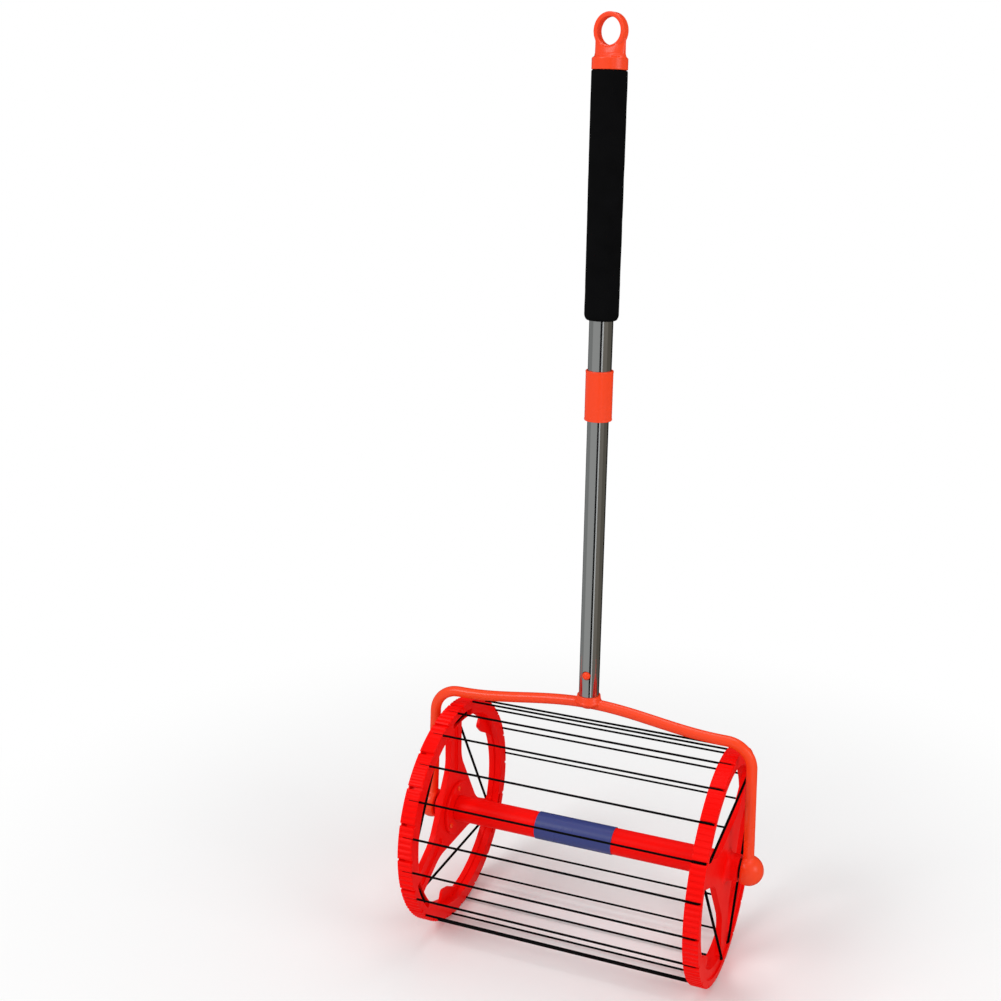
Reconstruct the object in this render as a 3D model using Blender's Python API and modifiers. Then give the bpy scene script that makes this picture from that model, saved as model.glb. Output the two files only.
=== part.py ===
"""Rolling hopper that picks up table tennis balls.

A cage drum of sprung wires turns on an axle between the arms of a yoke. The balls push
in between the wires as the drum rolls over them. The yoke plugs into the lower of two
telescoping tubes, held by a snap button, and the upper tube carries a foam grip and a
hanging loop.

X runs along the drum's axle, Z up the pole, and the ground is at z = 0. Lengths are in
metres and angles in degrees. Turns about the axle are measured from +Z towards -Y.
"""
import math

import bmesh
import bpy
from mathutils import Matrix, Vector

# Clearances
FIT = 0.0003
SLIDE_FIT = 0.0003
CUT_PAST = 0.001
EMPTY_SIZE = 0.03

# Drum wheels
WHEEL_RADIUS = 0.118
RIB_HEIGHT = 0.0012
RIBS_PER_PITCH = 6
RIM_GAP = 0.275
RIM_WIDTH = 0.0155
RIM_DEPTH = 0.0148
LIP_DEPTH = 0.0068
WEB_RECESS = 0.0075
WEB_THICKNESS = 0.006
WINDOW_COUNT = 3
WINDOW_INSET = 0.0018
HUB_FLAT_RADIUS = 0.038
SPOKE_WIDTH = 0.027
WINDOW_ROUND = 0.009
CHANNEL_WIDTH = 0.0095
CHANNEL_DEPTH = 0.0022
CHANNEL_START_GAP = 0.002
CHANNEL_END_GAP = 0.008
HUB_RADIUS = 0.0135
HUB_REACH = 0.0124
HUB_FILLET = 0.006
TAB_HALF_ANGLE = 20.8
TAB_END_REACH = 0.0135
TAB_MIDDLE_REACH = 0.0095
TAB_THICKNESS = 0.003
TAB_STEP = 0.0003
TAB_ROOT = 0.003
TAB_CORNER = 0.0022
RIM_STEP = 0.0005
TREAD_DEPTH = 0.002

# Cage wires
WIRE_COUNT = 20
WIRE_DIAMETER = 0.0023
WIRE_SINK = 0.0017
WIRE_HOOK = 0.005
WIRE_HOOK_INSET = 0.0128
WIRE_BEND = 0.0025
SLOT_WIDTH = 0.003
DRUM_PHASE = 5.3
LEFT_WHEEL_STEPS = 3

# Window cords
CORD_DIAMETER = 0.0028
CORD_BEND = 0.002
CORD_HOLE_DIAMETER = 0.004
CORD_HOLE_STEP = 0.004
CORD_HOLE_OFFSET = 7.0
POCKET_WIDTH = 0.006
POCKET_DEPTH = 0.0045
POCKET_HALF_ANGLE = 12.0

# Centre tube, its end flanges and the axle
CENTRE_TUBE_DIAMETER = 0.027
CENTRE_TUBE_WALL = 0.0015
LABEL_LENGTH = 0.083
LABEL_OFFSET = -0.0087
LABEL_THICKNESS = 0.0004
FLANGE_RADIUS = 0.028
FLANGE_THICKNESS = 0.003
FLANGE_SPIGOT = 0.014
FLANGE_EDGE = 0.0008
SCREW_CIRCLE = 0.0225
SCREW_SHANK_DIAMETER = 0.0026
SCREW_HEAD_DIAMETER = 0.0056
SCREW_HEAD_HEIGHT = 0.0016
SCREW_BITE = 0.0045
SCREW_POINT = 0.001
SCREW_HEAD_SIDE = 0.0006
SCREW_HEAD_SLOPE = 0.0011
AXLE_DIAMETER = 0.008
AXLE_GRIP = 0.009
AXLE_EDGE = 0.0006
BUSH_WALL = 0.0018
BUSH_FLANGE_RADIUS = 0.0095
BUSH_FLANGE_THICKNESS = 0.0017

# Yoke
BAR_DIAMETER = 0.011
CROSSBAR_RISE = 0.1345
CROSSBAR_PEAK = 0.0135
PEAK_HALF_LENGTH = 0.14
ARM_SPLAY = 0.004
CORNER_RADIUS = 0.026
KNOB_RADIUS = 0.0153
KNOB_FLAT = 0.0062
KNOB_EDGE = 0.0005
SHOULDER_RISE = 0.0068
SHOULDER_RADIUS = 0.0128
SHOULDER_STEP = 0.0006
SHOULDER_SLOPE = 0.0008
SHOULDER_FOOT = 0.003
SHOULDER_SINK = 0.0005
BAR_END_GAP = 0.003
SPIGOT_LENGTH = 0.046
SPIGOT_WALL = 0.0026
SPIGOT_FLOOR = 0.003

# Snap button and its spring
BUTTON_RISE = 0.0265
BUTTON_DIAMETER = 0.008
BUTTON_TRAVEL = 0.004
BUTTON_FLANGE_DIAMETER = 0.0096
BUTTON_FLANGE_THICKNESS = 0.001
BUTTON_DOME = 0.003
SPRING_THICKNESS = 0.0008
SPRING_WIDTH = 0.006
SPRING_ABOVE_BUTTON = 0.003
SPRING_BELOW_BUTTON = 0.001
SPRING_CORNER = 0.002

# Pole
LOWER_TUBE_DIAMETER = 0.020
LOWER_TUBE_WALL = 0.0009
LOWER_TUBE_LENGTH = 0.5355
UPPER_TUBE_WALL = 0.0007
UPPER_TUBE_LENGTH = 0.3013
POLE_STOP_GAP = 0.0055
LOCK_STEM = 0.030
LOCK_FLANGE = 0.004
LOCK_NECK = 0.018
LOCK_NECK_RADIUS = 0.0062
LOCK_OFFSET = 0.001
LOCK_SLIT = 0.002
LOCK_ROOM = 0.0006
COLLAR_WALL = 0.0017
COLLAR_LENGTH = 0.0466
COLLAR_LIP = 0.0034
COLLAR_EDGE = 0.001
GRIP_WALL = 0.0043
GRIP_LENGTH = 0.2124
GRIP_TAPER = 0.0035
GRIP_TAPER_DEPTH = 0.0016
GRIP_EDGE = 0.0006

# Hanging cap
CAP_RADIUS = 0.0157
CAP_FLANGE = 0.010
CAP_EDGE = 0.001
CAP_PLUG = 0.018
LOOP_HOLE_RADIUS = 0.01225
LOOP_BAND = 0.003
LOOP_WIDTH = 0.008
LOOP_ABOVE_FLANGE = 0.0212
NECK_WAIST = 0.0134
NECK_WAIST_HEIGHT = 0.0065
NECK_INSET = 0.0015
NECK_SINK = 0.003
NECK_FLARE = 0.0004
LOOP_EDGE = 0.00066
CAP_TURN = -12.0

# Sides of the round pieces
ROUND_STEPS = 32
WHEEL_STEPS = 48
SMALL_STEPS = 16

# Places that follow from the sizes above
RIM_INNER_FACE = RIM_GAP / 2
RIM_OUTER_FACE = RIM_INNER_FACE + RIM_WIDTH
WEB_INNER_FACE = RIM_INNER_FACE + WEB_RECESS
WEB_OUTER_FACE = WEB_INNER_FACE + WEB_THICKNESS
BAND_RADIUS = WHEEL_RADIUS - RIB_HEIGHT
RIM_BORE_RADIUS = BAND_RADIUS - RIM_DEPTH
CORD_HOLE_RADIUS = RIM_BORE_RADIUS + CORD_HOLE_STEP
POCKET_FLOOR = RIM_INNER_FACE + POCKET_DEPTH
LIP_RADIUS = BAND_RADIUS - LIP_DEPTH
WINDOW_RADIUS = RIM_BORE_RADIUS - WINDOW_INSET
HUB_END = WEB_OUTER_FACE + HUB_REACH
WIRE_RADIUS = WHEEL_RADIUS - WIRE_SINK
SLOT_FLOOR = WIRE_RADIUS - WIRE_DIAMETER / 2 - FIT
BODY_RADIUS = SLOT_FLOOR - TREAD_DEPTH / 2
HOOK_X = RIM_INNER_FACE + WIRE_HOOK_INSET
BUSH_BORE_RADIUS = AXLE_DIAMETER / 2 + SLIDE_FIT
BUSH_RADIUS = BUSH_BORE_RADIUS + BUSH_WALL
HUB_BORE_RADIUS = BUSH_RADIUS + FIT
FLANGE_FACE = WEB_INNER_FACE - FIT
FLANGE_INNER_FACE = FLANGE_FACE - FLANGE_THICKNESS
TUBE_END = FLANGE_INNER_FACE - FIT
CENTRE_TUBE_RADIUS = CENTRE_TUBE_DIAMETER / 2
CENTRE_TUBE_BORE = CENTRE_TUBE_RADIUS - CENTRE_TUBE_WALL
BUSH_FLANGE_FACE = HUB_END + FIT
KNOB_FACE = BUSH_FLANGE_FACE + BUSH_FLANGE_THICKNESS + FIT
KNOB_CENTRE = KNOB_FACE + KNOB_FLAT
AXLE_END = KNOB_FACE + AXLE_GRIP
ARM_TOP = KNOB_CENTRE - ARM_SPLAY
AXLE_HEIGHT = WHEEL_RADIUS
CROSSBAR_Z = AXLE_HEIGHT + CROSSBAR_RISE
PEAK_Z = CROSSBAR_Z + CROSSBAR_PEAK
LOWER_TUBE_BOTTOM = PEAK_Z + SHOULDER_RISE
BUTTON_Z = LOWER_TUBE_BOTTOM + BUTTON_RISE
BUTTON_PROUD = BUTTON_TRAVEL - LOWER_TUBE_WALL - FIT
LOWER_TUBE_TOP = LOWER_TUBE_BOTTOM + LOWER_TUBE_LENGTH
LOWER_TUBE_RADIUS = LOWER_TUBE_DIAMETER / 2
LOWER_TUBE_BORE = LOWER_TUBE_RADIUS - LOWER_TUBE_WALL
SPIGOT_RADIUS = LOWER_TUBE_BORE - FIT
SPIGOT_BORE = SPIGOT_RADIUS - SPIGOT_WALL
SPIGOT_WELL = LOWER_TUBE_BOTTOM + SPIGOT_FLOOR
NECK_BOTTOM = LOWER_TUBE_TOP + FIT + LOCK_FLANGE
NECK_TOP = NECK_BOTTOM + LOCK_NECK
UPPER_TUBE_TOP = NECK_TOP + LOCK_FLANGE + POLE_STOP_GAP + CAP_PLUG - FIT
UPPER_TUBE_BOTTOM = UPPER_TUBE_TOP - UPPER_TUBE_LENGTH
COLLAR_BOTTOM = UPPER_TUBE_BOTTOM - FIT - COLLAR_LIP
UPPER_TUBE_BORE = LOWER_TUBE_RADIUS + SLIDE_FIT
UPPER_TUBE_RADIUS = UPPER_TUBE_BORE + UPPER_TUBE_WALL
COLLAR_RADIUS = UPPER_TUBE_RADIUS + FIT + COLLAR_WALL
GRIP_RADIUS = UPPER_TUBE_RADIUS + FIT + GRIP_WALL
GRIP_BOTTOM = UPPER_TUBE_TOP - GRIP_LENGTH
CAP_BOTTOM = UPPER_TUBE_TOP + FIT
CAP_TOP = CAP_BOTTOM + CAP_FLANGE
LOOP_CENTRE = CAP_TOP + LOOP_ABOVE_FLANGE
LOOP_RADIUS = LOOP_HOLE_RADIUS + LOOP_BAND

# A turned or extruded shape is drawn about Z, and this lays its Z along +X
ALONG_X = Matrix(((0, 0, 1), (1, 0, 0), (0, 1, 0))).to_4x4()
HALF_TURN = Matrix.Rotation(math.pi, 4, "Z")


def polar(radius, angle):
    """A point of the wheel's outline, drawn flat with the angle's zero at its top."""
    turn = math.radians(angle)
    return (-radius * math.sin(turn), radius * math.cos(turn))


def arc(centre, radius, start, end, steps):
    """Points along an arc, with its angles in degrees from the first axis."""
    points = []
    for i in range(steps + 1):
        turn = math.radians(start + (end - start) * i / steps)
        points.append((centre[0] + radius * math.cos(turn), centre[1] + radius * math.sin(turn)))
    return points


def clear_scene():
    for obj in list(bpy.data.objects):
        bpy.data.objects.remove(obj, do_unlink=True)
    for name in ("ball_hopper", "hopper_cutters"):
        collection = bpy.data.collections.get(name)
        if collection:
            bpy.data.collections.remove(collection)


def make_collection(name):
    collection = bpy.data.collections.new(name)
    bpy.context.scene.collection.children.link(collection)
    return collection


def make_material(name, colour, roughness, metallic=0.0):
    material = bpy.data.materials.new(name)
    material.use_nodes = True
    shader = material.node_tree.nodes["Principled BSDF"]
    shader.inputs["Base Color"].default_value = (*colour, 1.0)
    shader.inputs["Roughness"].default_value = roughness
    shader.inputs["Metallic"].default_value = metallic
    return material


def link_as_cutter(obj):
    """Keep a construction shape out of the finished object."""
    obj.hide_render = True
    obj.display_type = "WIRE"
    CUTTERS.objects.link(obj)
    return obj


def turned(name, profile, steps=ROUND_STEPS, closed=True):
    """Turn a profile of (radius, height) points about Z.

    The profile runs down its outer side. A closed one leaves a bore, and an open one
    starts and ends on the axis.
    """
    mesh = bpy.data.meshes.new(name)
    edges = [(i, i + 1) for i in range(len(profile) - 1)]
    if closed:
        edges.append((len(profile) - 1, 0))
    mesh.from_pydata([(radius, 0.0, height) for radius, height in profile], edges, [])
    obj = bpy.data.objects.new(name, mesh)
    screw = obj.modifiers.new("turn", "SCREW")
    screw.steps = steps
    screw.render_steps = steps
    screw.use_merge_vertices = True
    screw.merge_threshold = 0.00001
    screw.use_smooth_shade = False
    return link_as_cutter(obj)


def plate(name, outlines, low, high):
    """Extrude flat outlines, the first with the others as holes, from low to high in Z."""
    curve = bpy.data.curves.new(name, "CURVE")
    curve.dimensions = "2D"
    curve.fill_mode = "BOTH"
    curve.extrude = (high - low) / 2
    for outline in outlines:
        spline = curve.splines.new("POLY")
        spline.points.add(len(outline) - 1)
        for point, (u, v) in zip(spline.points, outline):
            point.co = (u, v, 0.0, 1.0)
        spline.use_cyclic_u = True
    obj = bpy.data.objects.new(name, curve)
    obj.location.z = (low + high) / 2
    return as_mesh(link_as_cutter(obj))


def tube_along(name, points, diameter, resolution, cyclic=False):
    """A round bar or cord along a list of points."""
    curve = bpy.data.curves.new(name, "CURVE")
    curve.dimensions = "3D"
    curve.bevel_depth = diameter / 2
    curve.bevel_resolution = resolution
    curve.use_fill_caps = not cyclic
    spline = curve.splines.new("POLY")
    spline.points.add(len(points) - 1)
    for point, position in zip(spline.points, points):
        point.co = (*position, 1.0)
    spline.use_cyclic_u = cyclic
    obj = bpy.data.objects.new(name, curve)
    return as_mesh(link_as_cutter(obj))


def box(name, low, high):
    mesh = bpy.data.meshes.new(name)
    shape = bmesh.new()
    bmesh.ops.create_cube(shape, size=1.0)
    middle = (Vector(low) + Vector(high)) / 2
    size = Vector(high) - Vector(low)
    bmesh.ops.transform(shape, matrix=Matrix.Translation(middle) @ Matrix.Diagonal((*size, 1.0)),
                        verts=shape.verts)
    shape.to_mesh(mesh)
    shape.free()
    return link_as_cutter(bpy.data.objects.new(name, mesh))


def cylinder(name, radius, low, high, steps=SMALL_STEPS):
    """A solid cylinder about Z."""
    mesh = bpy.data.meshes.new(name)
    shape = bmesh.new()
    bmesh.ops.create_cone(shape, cap_ends=True, segments=steps, radius1=radius, radius2=radius,
                          depth=high - low, matrix=Matrix.Translation((0, 0, (low + high) / 2)))
    shape.to_mesh(mesh)
    shape.free()
    return link_as_cutter(bpy.data.objects.new(name, mesh))


def evaluated_mesh(obj):
    """The mesh of an object after its modifiers, in the object's own frame."""
    bpy.context.view_layer.update()
    seen = obj.evaluated_get(bpy.context.evaluated_depsgraph_get())
    return bpy.data.meshes.new_from_object(seen)


def as_mesh(obj):
    """Replace a curve with its welded mesh, with its place taken into the mesh."""
    mesh = evaluated_mesh(obj)
    shape = bmesh.new()
    shape.from_mesh(mesh)
    bmesh.ops.remove_doubles(shape, verts=shape.verts, dist=0.000001)
    bmesh.ops.transform(shape, matrix=obj.matrix_world, verts=shape.verts)
    bmesh.ops.recalc_face_normals(shape, faces=shape.faces)
    shape.to_mesh(mesh)
    shape.free()
    name = obj.name
    bpy.data.objects.remove(obj, do_unlink=True)
    return link_as_cutter(bpy.data.objects.new(name, mesh))


def moved(obj, matrix):
    obj.matrix_world = matrix
    return obj


def patterned(obj, matrices):
    """One construction object that holds a copy of a mesh at each place."""
    source = evaluated_mesh(obj)
    mesh = bpy.data.meshes.new(obj.name)
    shape = bmesh.new()
    for matrix in matrices:
        first = len(shape.verts)
        shape.from_mesh(source)
        shape.verts.ensure_lookup_table()
        bmesh.ops.transform(shape, matrix=matrix, verts=shape.verts[first:])
    shape.to_mesh(mesh)
    shape.free()
    name = obj.name
    bpy.data.objects.remove(obj, do_unlink=True)
    return link_as_cutter(bpy.data.objects.new(name, mesh))


def around_z(count, start=0.0):
    return [Matrix.Rotation(math.radians(start + 360 * i / count), 4, "Z") for i in range(count)]


def combine(obj, tool, operation):
    """Add a Boolean of the tool: UNION, DIFFERENCE or INTERSECT."""
    modifier = obj.modifiers.new(tool.name, "BOOLEAN")
    modifier.operation = operation
    modifier.solver = "EXACT"
    modifier.object = tool
    return obj


def finished(obj, axis=None):
    """The final mesh of a construction object, its place taken in, shaded smooth."""
    mesh = evaluated_mesh(obj)
    mesh.transform((axis or Matrix()) @ obj.matrix_world)
    mesh.shade_smooth()
    mesh.set_sharp_from_angle(angle=math.radians(35))
    return mesh


def place(name, mesh, material, parent=None, matrix=None):
    """Put a finished piece in the object, under the empty it moves with."""
    if not mesh.materials:
        mesh.materials.append(material)
    obj = bpy.data.objects.new(name, mesh)
    PIECES.objects.link(obj)
    if parent:
        obj.parent = parent
    if matrix:
        obj.matrix_local = matrix
    return obj


def make_empty(name, location, parent=None):
    empty = bpy.data.objects.new(name, None)
    empty.empty_display_size = EMPTY_SIZE
    PIECES.objects.link(empty)
    if parent:
        empty.parent = parent
        empty.location = Vector(location) - parent_place(parent)
    else:
        empty.location = location
    return empty


def parent_place(empty):
    place_so_far = Vector(empty.location)
    while empty.parent:
        empty = empty.parent
        place_so_far += empty.location
    return place_so_far


def window_outline():
    """A wheel window: an arc at the rim, sides along two spokes, a flat at the hub."""
    half = 180 / WINDOW_COUNT
    spoke = Vector((math.sin(math.radians(half)), math.cos(math.radians(half))))
    inward = Vector((-spoke.y, spoke.x))
    offset = SPOKE_WIDTH / 2 + WINDOW_ROUND
    outer_reach = math.sqrt((WINDOW_RADIUS - WINDOW_ROUND) ** 2 - offset ** 2)
    outer = spoke * outer_reach + inward * offset
    inner_reach = (HUB_FLAT_RADIUS + WINDOW_ROUND - offset * inward.y) / spoke.y
    inner = spoke * inner_reach + inward * offset
    radial = math.degrees(math.atan2(outer.y, outer.x))
    to_spoke = math.degrees(math.atan2(-inward.y, -inward.x))
    rim_arc = arc((0, 0), WINDOW_RADIUS, 180 - radial, radial, 10)
    right = arc(outer, WINDOW_ROUND, radial, to_spoke, 3) + arc(inner, WINDOW_ROUND, to_spoke, -90, 3)
    left = [(-u, v) for u, v in reversed(right)]
    return rim_arc[1:-1] + right + left


def tread_outline():
    """The edge of a wheel: a slot for each wire, and a row of ribs from slot to slot."""
    pitch = 360 / WIRE_COUNT
    slot_half = math.degrees(SLOT_WIDTH / 2 / WHEEL_RADIUS)
    rib = (pitch - 2 * slot_half) / RIBS_PER_PITCH
    points = []
    for i in range(WIRE_COUNT):
        start = i * pitch + slot_half
        points.append(polar(SLOT_FLOOR, start))
        points.append(polar(BAND_RADIUS, start))
        for j in range(RIBS_PER_PITCH):
            points.append(polar(WHEEL_RADIUS, start + rib * (j + 0.5)))
            points.append(polar(BAND_RADIUS, start + rib * (j + 1)))
        points.append(polar(SLOT_FLOOR, (i + 1) * pitch - slot_half))
    return points


def tab_outline():
    """A broad tab across a window's rim side, deepest and rounded at its two ends."""
    root = RIM_BORE_RADIUS + TAB_ROOT
    tip = RIM_BORE_RADIUS - TAB_END_REACH + TAB_CORNER
    corner_turn = math.degrees(TAB_CORNER / tip)
    corner = polar(tip, -TAB_HALF_ANGLE + corner_turn)
    right = [polar(root, -TAB_HALF_ANGLE)]
    right += arc(corner, TAB_CORNER, TAB_HALF_ANGLE * -1, -90 - TAB_HALF_ANGLE, 3)
    right.append(polar(RIM_BORE_RADIUS - TAB_MIDDLE_REACH, 0))
    left = [(-u, v) for u, v in reversed(right[:-1])]
    back = [polar(root, TAB_HALF_ANGLE * i / 3) for i in (2, 1, 0, -1, -2)]
    return right + left + back


def wheel_shape():
    """One wheel about Z, its outer face up, with a wire slot and a window at its top."""
    profile = [
        (BODY_RADIUS, RIM_OUTER_FACE - RIM_STEP),
        (BODY_RADIUS, RIM_INNER_FACE + RIM_STEP),
        (RIM_BORE_RADIUS, RIM_INNER_FACE + RIM_STEP),
        (RIM_BORE_RADIUS, WEB_INNER_FACE),
        (HUB_BORE_RADIUS, WEB_INNER_FACE),
        (HUB_BORE_RADIUS, HUB_END),
        (HUB_RADIUS, HUB_END),
        (HUB_RADIUS, WEB_OUTER_FACE + HUB_FILLET),
        (HUB_RADIUS + HUB_FILLET, WEB_OUTER_FACE),
        (LIP_RADIUS, WEB_OUTER_FACE),
        (LIP_RADIUS, RIM_OUTER_FACE - RIM_STEP),
    ]
    wheel = turned("wheel_body", profile, WHEEL_STEPS)
    bore = [polar(SLOT_FLOOR - TREAD_DEPTH, 360 * i / WHEEL_STEPS) for i in range(WHEEL_STEPS)]
    tread = plate("wheel_tread", [tread_outline(), bore], RIM_INNER_FACE, RIM_OUTER_FACE)
    combine(wheel, tread, "UNION")

    tab = plate("wheel_tabs", [tab_outline()],
                WEB_INNER_FACE + TAB_STEP, WEB_INNER_FACE + TAB_STEP + TAB_THICKNESS)
    tabs = patterned(tab, around_z(WINDOW_COUNT))
    channel = box("wheel_spoke_channels",
                  (-CHANNEL_WIDTH / 2, HUB_FLAT_RADIUS + CHANNEL_START_GAP, WEB_INNER_FACE - CUT_PAST),
                  (CHANNEL_WIDTH / 2, RIM_BORE_RADIUS - CHANNEL_END_GAP, WEB_INNER_FACE + CHANNEL_DEPTH))
    channels = patterned(channel, around_z(WINDOW_COUNT, 180 / WINDOW_COUNT))
    windows = patterned(plate("wheel_windows", [window_outline()],
                              WEB_INNER_FACE - CUT_PAST, WEB_OUTER_FACE + CUT_PAST),
                        around_z(WINDOW_COUNT))
    combine(wheel, windows, "DIFFERENCE")
    combine(wheel, tabs, "UNION")
    combine(wheel, channels, "DIFFERENCE")

    hook_room = WIRE_DIAMETER / 2 + FIT
    hook = box("wheel_hook_holes",
               (-hook_room, WIRE_RADIUS - WIRE_HOOK - FIT, HOOK_X - WIRE_BEND - hook_room),
               (hook_room, SLOT_FLOOR + CUT_PAST / 2, HOOK_X + hook_room))
    combine(wheel, patterned(hook, around_z(WIRE_COUNT)), "DIFFERENCE")

    inner = CORD_HOLE_RADIUS - POCKET_WIDTH / 2
    outer = CORD_HOLE_RADIUS + POCKET_WIDTH / 2
    start = 90 - POCKET_HALF_ANGLE
    end = 90 + POCKET_HALF_ANGLE
    pocket = arc((0, 0), outer, start, end, 4) + arc((0, 0), inner, end, start, 4)
    pockets = patterned(plate("wheel_pockets", [pocket], RIM_INNER_FACE - CUT_PAST, POCKET_FLOOR),
                        around_z(WINDOW_COUNT, 180 / WINDOW_COUNT))
    combine(wheel, pockets, "DIFFERENCE")
    hole = cylinder("wheel_cord_holes", CORD_HOLE_DIAMETER / 2,
                    POCKET_FLOOR - CUT_PAST, WEB_OUTER_FACE + CUT_PAST, 8)
    places = []
    for turn in around_z(WINDOW_COUNT, 180 / WINDOW_COUNT):
        for side in (-1, 1):
            u, v = polar(CORD_HOLE_RADIUS, side * CORD_HOLE_OFFSET)
            places.append(turn @ Matrix.Translation((u, v, 0)))
    combine(wheel, patterned(hole, places), "DIFFERENCE")
    screw_hole = cylinder("wheel_screw_holes", SCREW_SHANK_DIAMETER / 2 + FIT,
                          WEB_INNER_FACE - CUT_PAST, WEB_INNER_FACE + SCREW_BITE + FIT, 8)
    combine(wheel, patterned(screw_hole, screw_places()), "DIFFERENCE")
    return wheel


def screw_places():
    return [turn @ Matrix.Translation((0, SCREW_CIRCLE, 0))
            for turn in around_z(WINDOW_COUNT, 180 / WINDOW_COUNT)]


def cord_path():
    """The cord's loop: over each window outside, through a hole, behind each spoke."""
    outside = WEB_OUTER_FACE + FIT + CORD_DIAMETER / 2
    inside = POCKET_FLOOR - FIT - CORD_DIAMETER / 2
    points = []
    for i in range(WINDOW_COUNT):
        spoke = 180 / WINDOW_COUNT + 360 * i / WINDOW_COUNT
        before = Vector((*polar(CORD_HOLE_RADIUS, spoke - CORD_HOLE_OFFSET), 0))
        after = Vector((*polar(CORD_HOLE_RADIUS, spoke + CORD_HOLE_OFFSET), 0))
        last = Vector((*polar(CORD_HOLE_RADIUS, spoke - 360 / WINDOW_COUNT + CORD_HOLE_OFFSET), 0))
        following = Vector((*polar(CORD_HOLE_RADIUS, spoke + 360 / WINDOW_COUNT - CORD_HOLE_OFFSET), 0))
        middle = Vector((*polar(CORD_HOLE_RADIUS, spoke), 0))
        points += bend(before, last - before, outside, -1, False)
        points += bend(before, middle - before, inside, 1, True)
        points.append(middle + Vector((0, 0, inside)))
        points += bend(after, middle - after, inside, 1, False)
        points += bend(after, following - after, outside, -1, True)
    return points


def bend(hole, along, height, into, leaving):
    """A right-angle bend of the cord at a hole, between its face run and the hole."""
    direction = along.normalized()
    centre = hole + direction * CORD_BEND + Vector((0, 0, height + into * CORD_BEND))
    points = []
    for step in range(3):
        turn = math.radians(45 * step)
        points.append(centre - direction * CORD_BEND * math.sin(turn)
                      - Vector((0, 0, into * CORD_BEND * math.cos(turn))))
    return points[::-1] if leaving else points


def wire_path():
    """A cage wire at the drum's top: straight, with an end hooked into each rim."""
    foot = WIRE_RADIUS - WIRE_HOOK
    half = [(HOOK_X, foot)]
    for turn in (0, 90):
        angle = math.radians(turn)
        half.append((HOOK_X - WIRE_BEND * (1 - math.cos(angle)),
                     WIRE_RADIUS - WIRE_BEND * (1 - math.sin(angle))))
    left = [(-x, 0.0, z) for x, z in half]
    right = [(x, 0.0, z) for x, z in reversed(half)]
    return left + right


def make_drum(colours, parent):
    """Everything that turns on the axle."""
    right_turn = Matrix.Rotation(math.radians(DRUM_PHASE), 4, "X")
    left_phase = DRUM_PHASE + LEFT_WHEEL_STEPS * 360 / WIRE_COUNT
    left_turn = Matrix.Rotation(math.radians(left_phase), 4, "X") @ HALF_TURN
    sides = (("left", left_turn), ("right", right_turn))

    wheel = finished(wheel_shape(), ALONG_X)
    cord = finished(tube_along("cord", cord_path(), CORD_DIAMETER, 2, True), ALONG_X)
    bush = finished(turned("bush", [
        (BUSH_FLANGE_RADIUS, BUSH_FLANGE_FACE + BUSH_FLANGE_THICKNESS),
        (BUSH_FLANGE_RADIUS, BUSH_FLANGE_FACE),
        (BUSH_RADIUS, BUSH_FLANGE_FACE),
        (BUSH_RADIUS, FLANGE_INNER_FACE),
        (BUSH_BORE_RADIUS, FLANGE_INNER_FACE),
        (BUSH_BORE_RADIUS, BUSH_FLANGE_FACE + BUSH_FLANGE_THICKNESS),
    ], 20), ALONG_X)
    flange = finished(flange_shape(), ALONG_X)
    screw = finished(screw_shape(), ALONG_X)
    for side, turn in sides:
        place("wheel_" + side, wheel, colours["red_plastic"], parent, turn)
        place("window_cord_" + side, cord, colours["black_cord"], parent, turn)
        place("hub_bush_" + side, bush, colours["black_nylon"], parent, turn)
        place("hub_flange_" + side, flange, colours["red_plastic"], parent, turn)
        for i in range(WINDOW_COUNT):
            angle = math.radians(180 / WINDOW_COUNT + 360 * i / WINDOW_COUNT)
            place(f"hub_screw_{side}_{i + 1}", screw, colours["steel"], parent,
                  turn @ Matrix.Rotation(angle, 4, "X"))

    wire = finished(tube_along("wire", wire_path(), WIRE_DIAMETER, 1))
    for i in range(WIRE_COUNT):
        angle = math.radians(DRUM_PHASE + 360 * i / WIRE_COUNT)
        place(f"cage_wire_{i + 1:02d}", wire, colours["black_wire"], parent,
              Matrix.Rotation(angle, 4, "X"))

    tube = finished(turned("tube", [
        (CENTRE_TUBE_RADIUS, TUBE_END), (CENTRE_TUBE_RADIUS, -TUBE_END),
        (CENTRE_TUBE_BORE, -TUBE_END), (CENTRE_TUBE_BORE, TUBE_END)]), ALONG_X)
    place("centre_tube", tube, colours["red_plastic"], parent)
    inside = CENTRE_TUBE_RADIUS + FIT
    outside = inside + LABEL_THICKNESS
    start = LABEL_OFFSET - LABEL_LENGTH / 2
    end = LABEL_OFFSET + LABEL_LENGTH / 2
    label = finished(turned("label", [
        (outside, end), (outside, start), (inside, start), (inside, end)]), ALONG_X)
    place("label_band", label, colours["blue_label"], parent)


def flange_shape():
    """The plug that carries one end of the centre tube, screwed to the wheel's web."""
    spigot = CENTRE_TUBE_BORE - FIT
    bore = BUSH_RADIUS + FIT
    body = turned("flange", [
        (FLANGE_RADIUS, FLANGE_FACE),
        (FLANGE_RADIUS, FLANGE_INNER_FACE + FLANGE_EDGE),
        (FLANGE_RADIUS - FLANGE_EDGE, FLANGE_INNER_FACE),
        (spigot, FLANGE_INNER_FACE),
        (spigot, FLANGE_INNER_FACE - FLANGE_SPIGOT),
        (bore, FLANGE_INNER_FACE - FLANGE_SPIGOT),
        (bore, FLANGE_FACE)], 24)
    hole = cylinder("flange_screw_holes", SCREW_SHANK_DIAMETER / 2 + FIT,
                    FLANGE_INNER_FACE - CUT_PAST, FLANGE_FACE + CUT_PAST, 8)
    return combine(body, patterned(hole, screw_places()), "DIFFERENCE")


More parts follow.
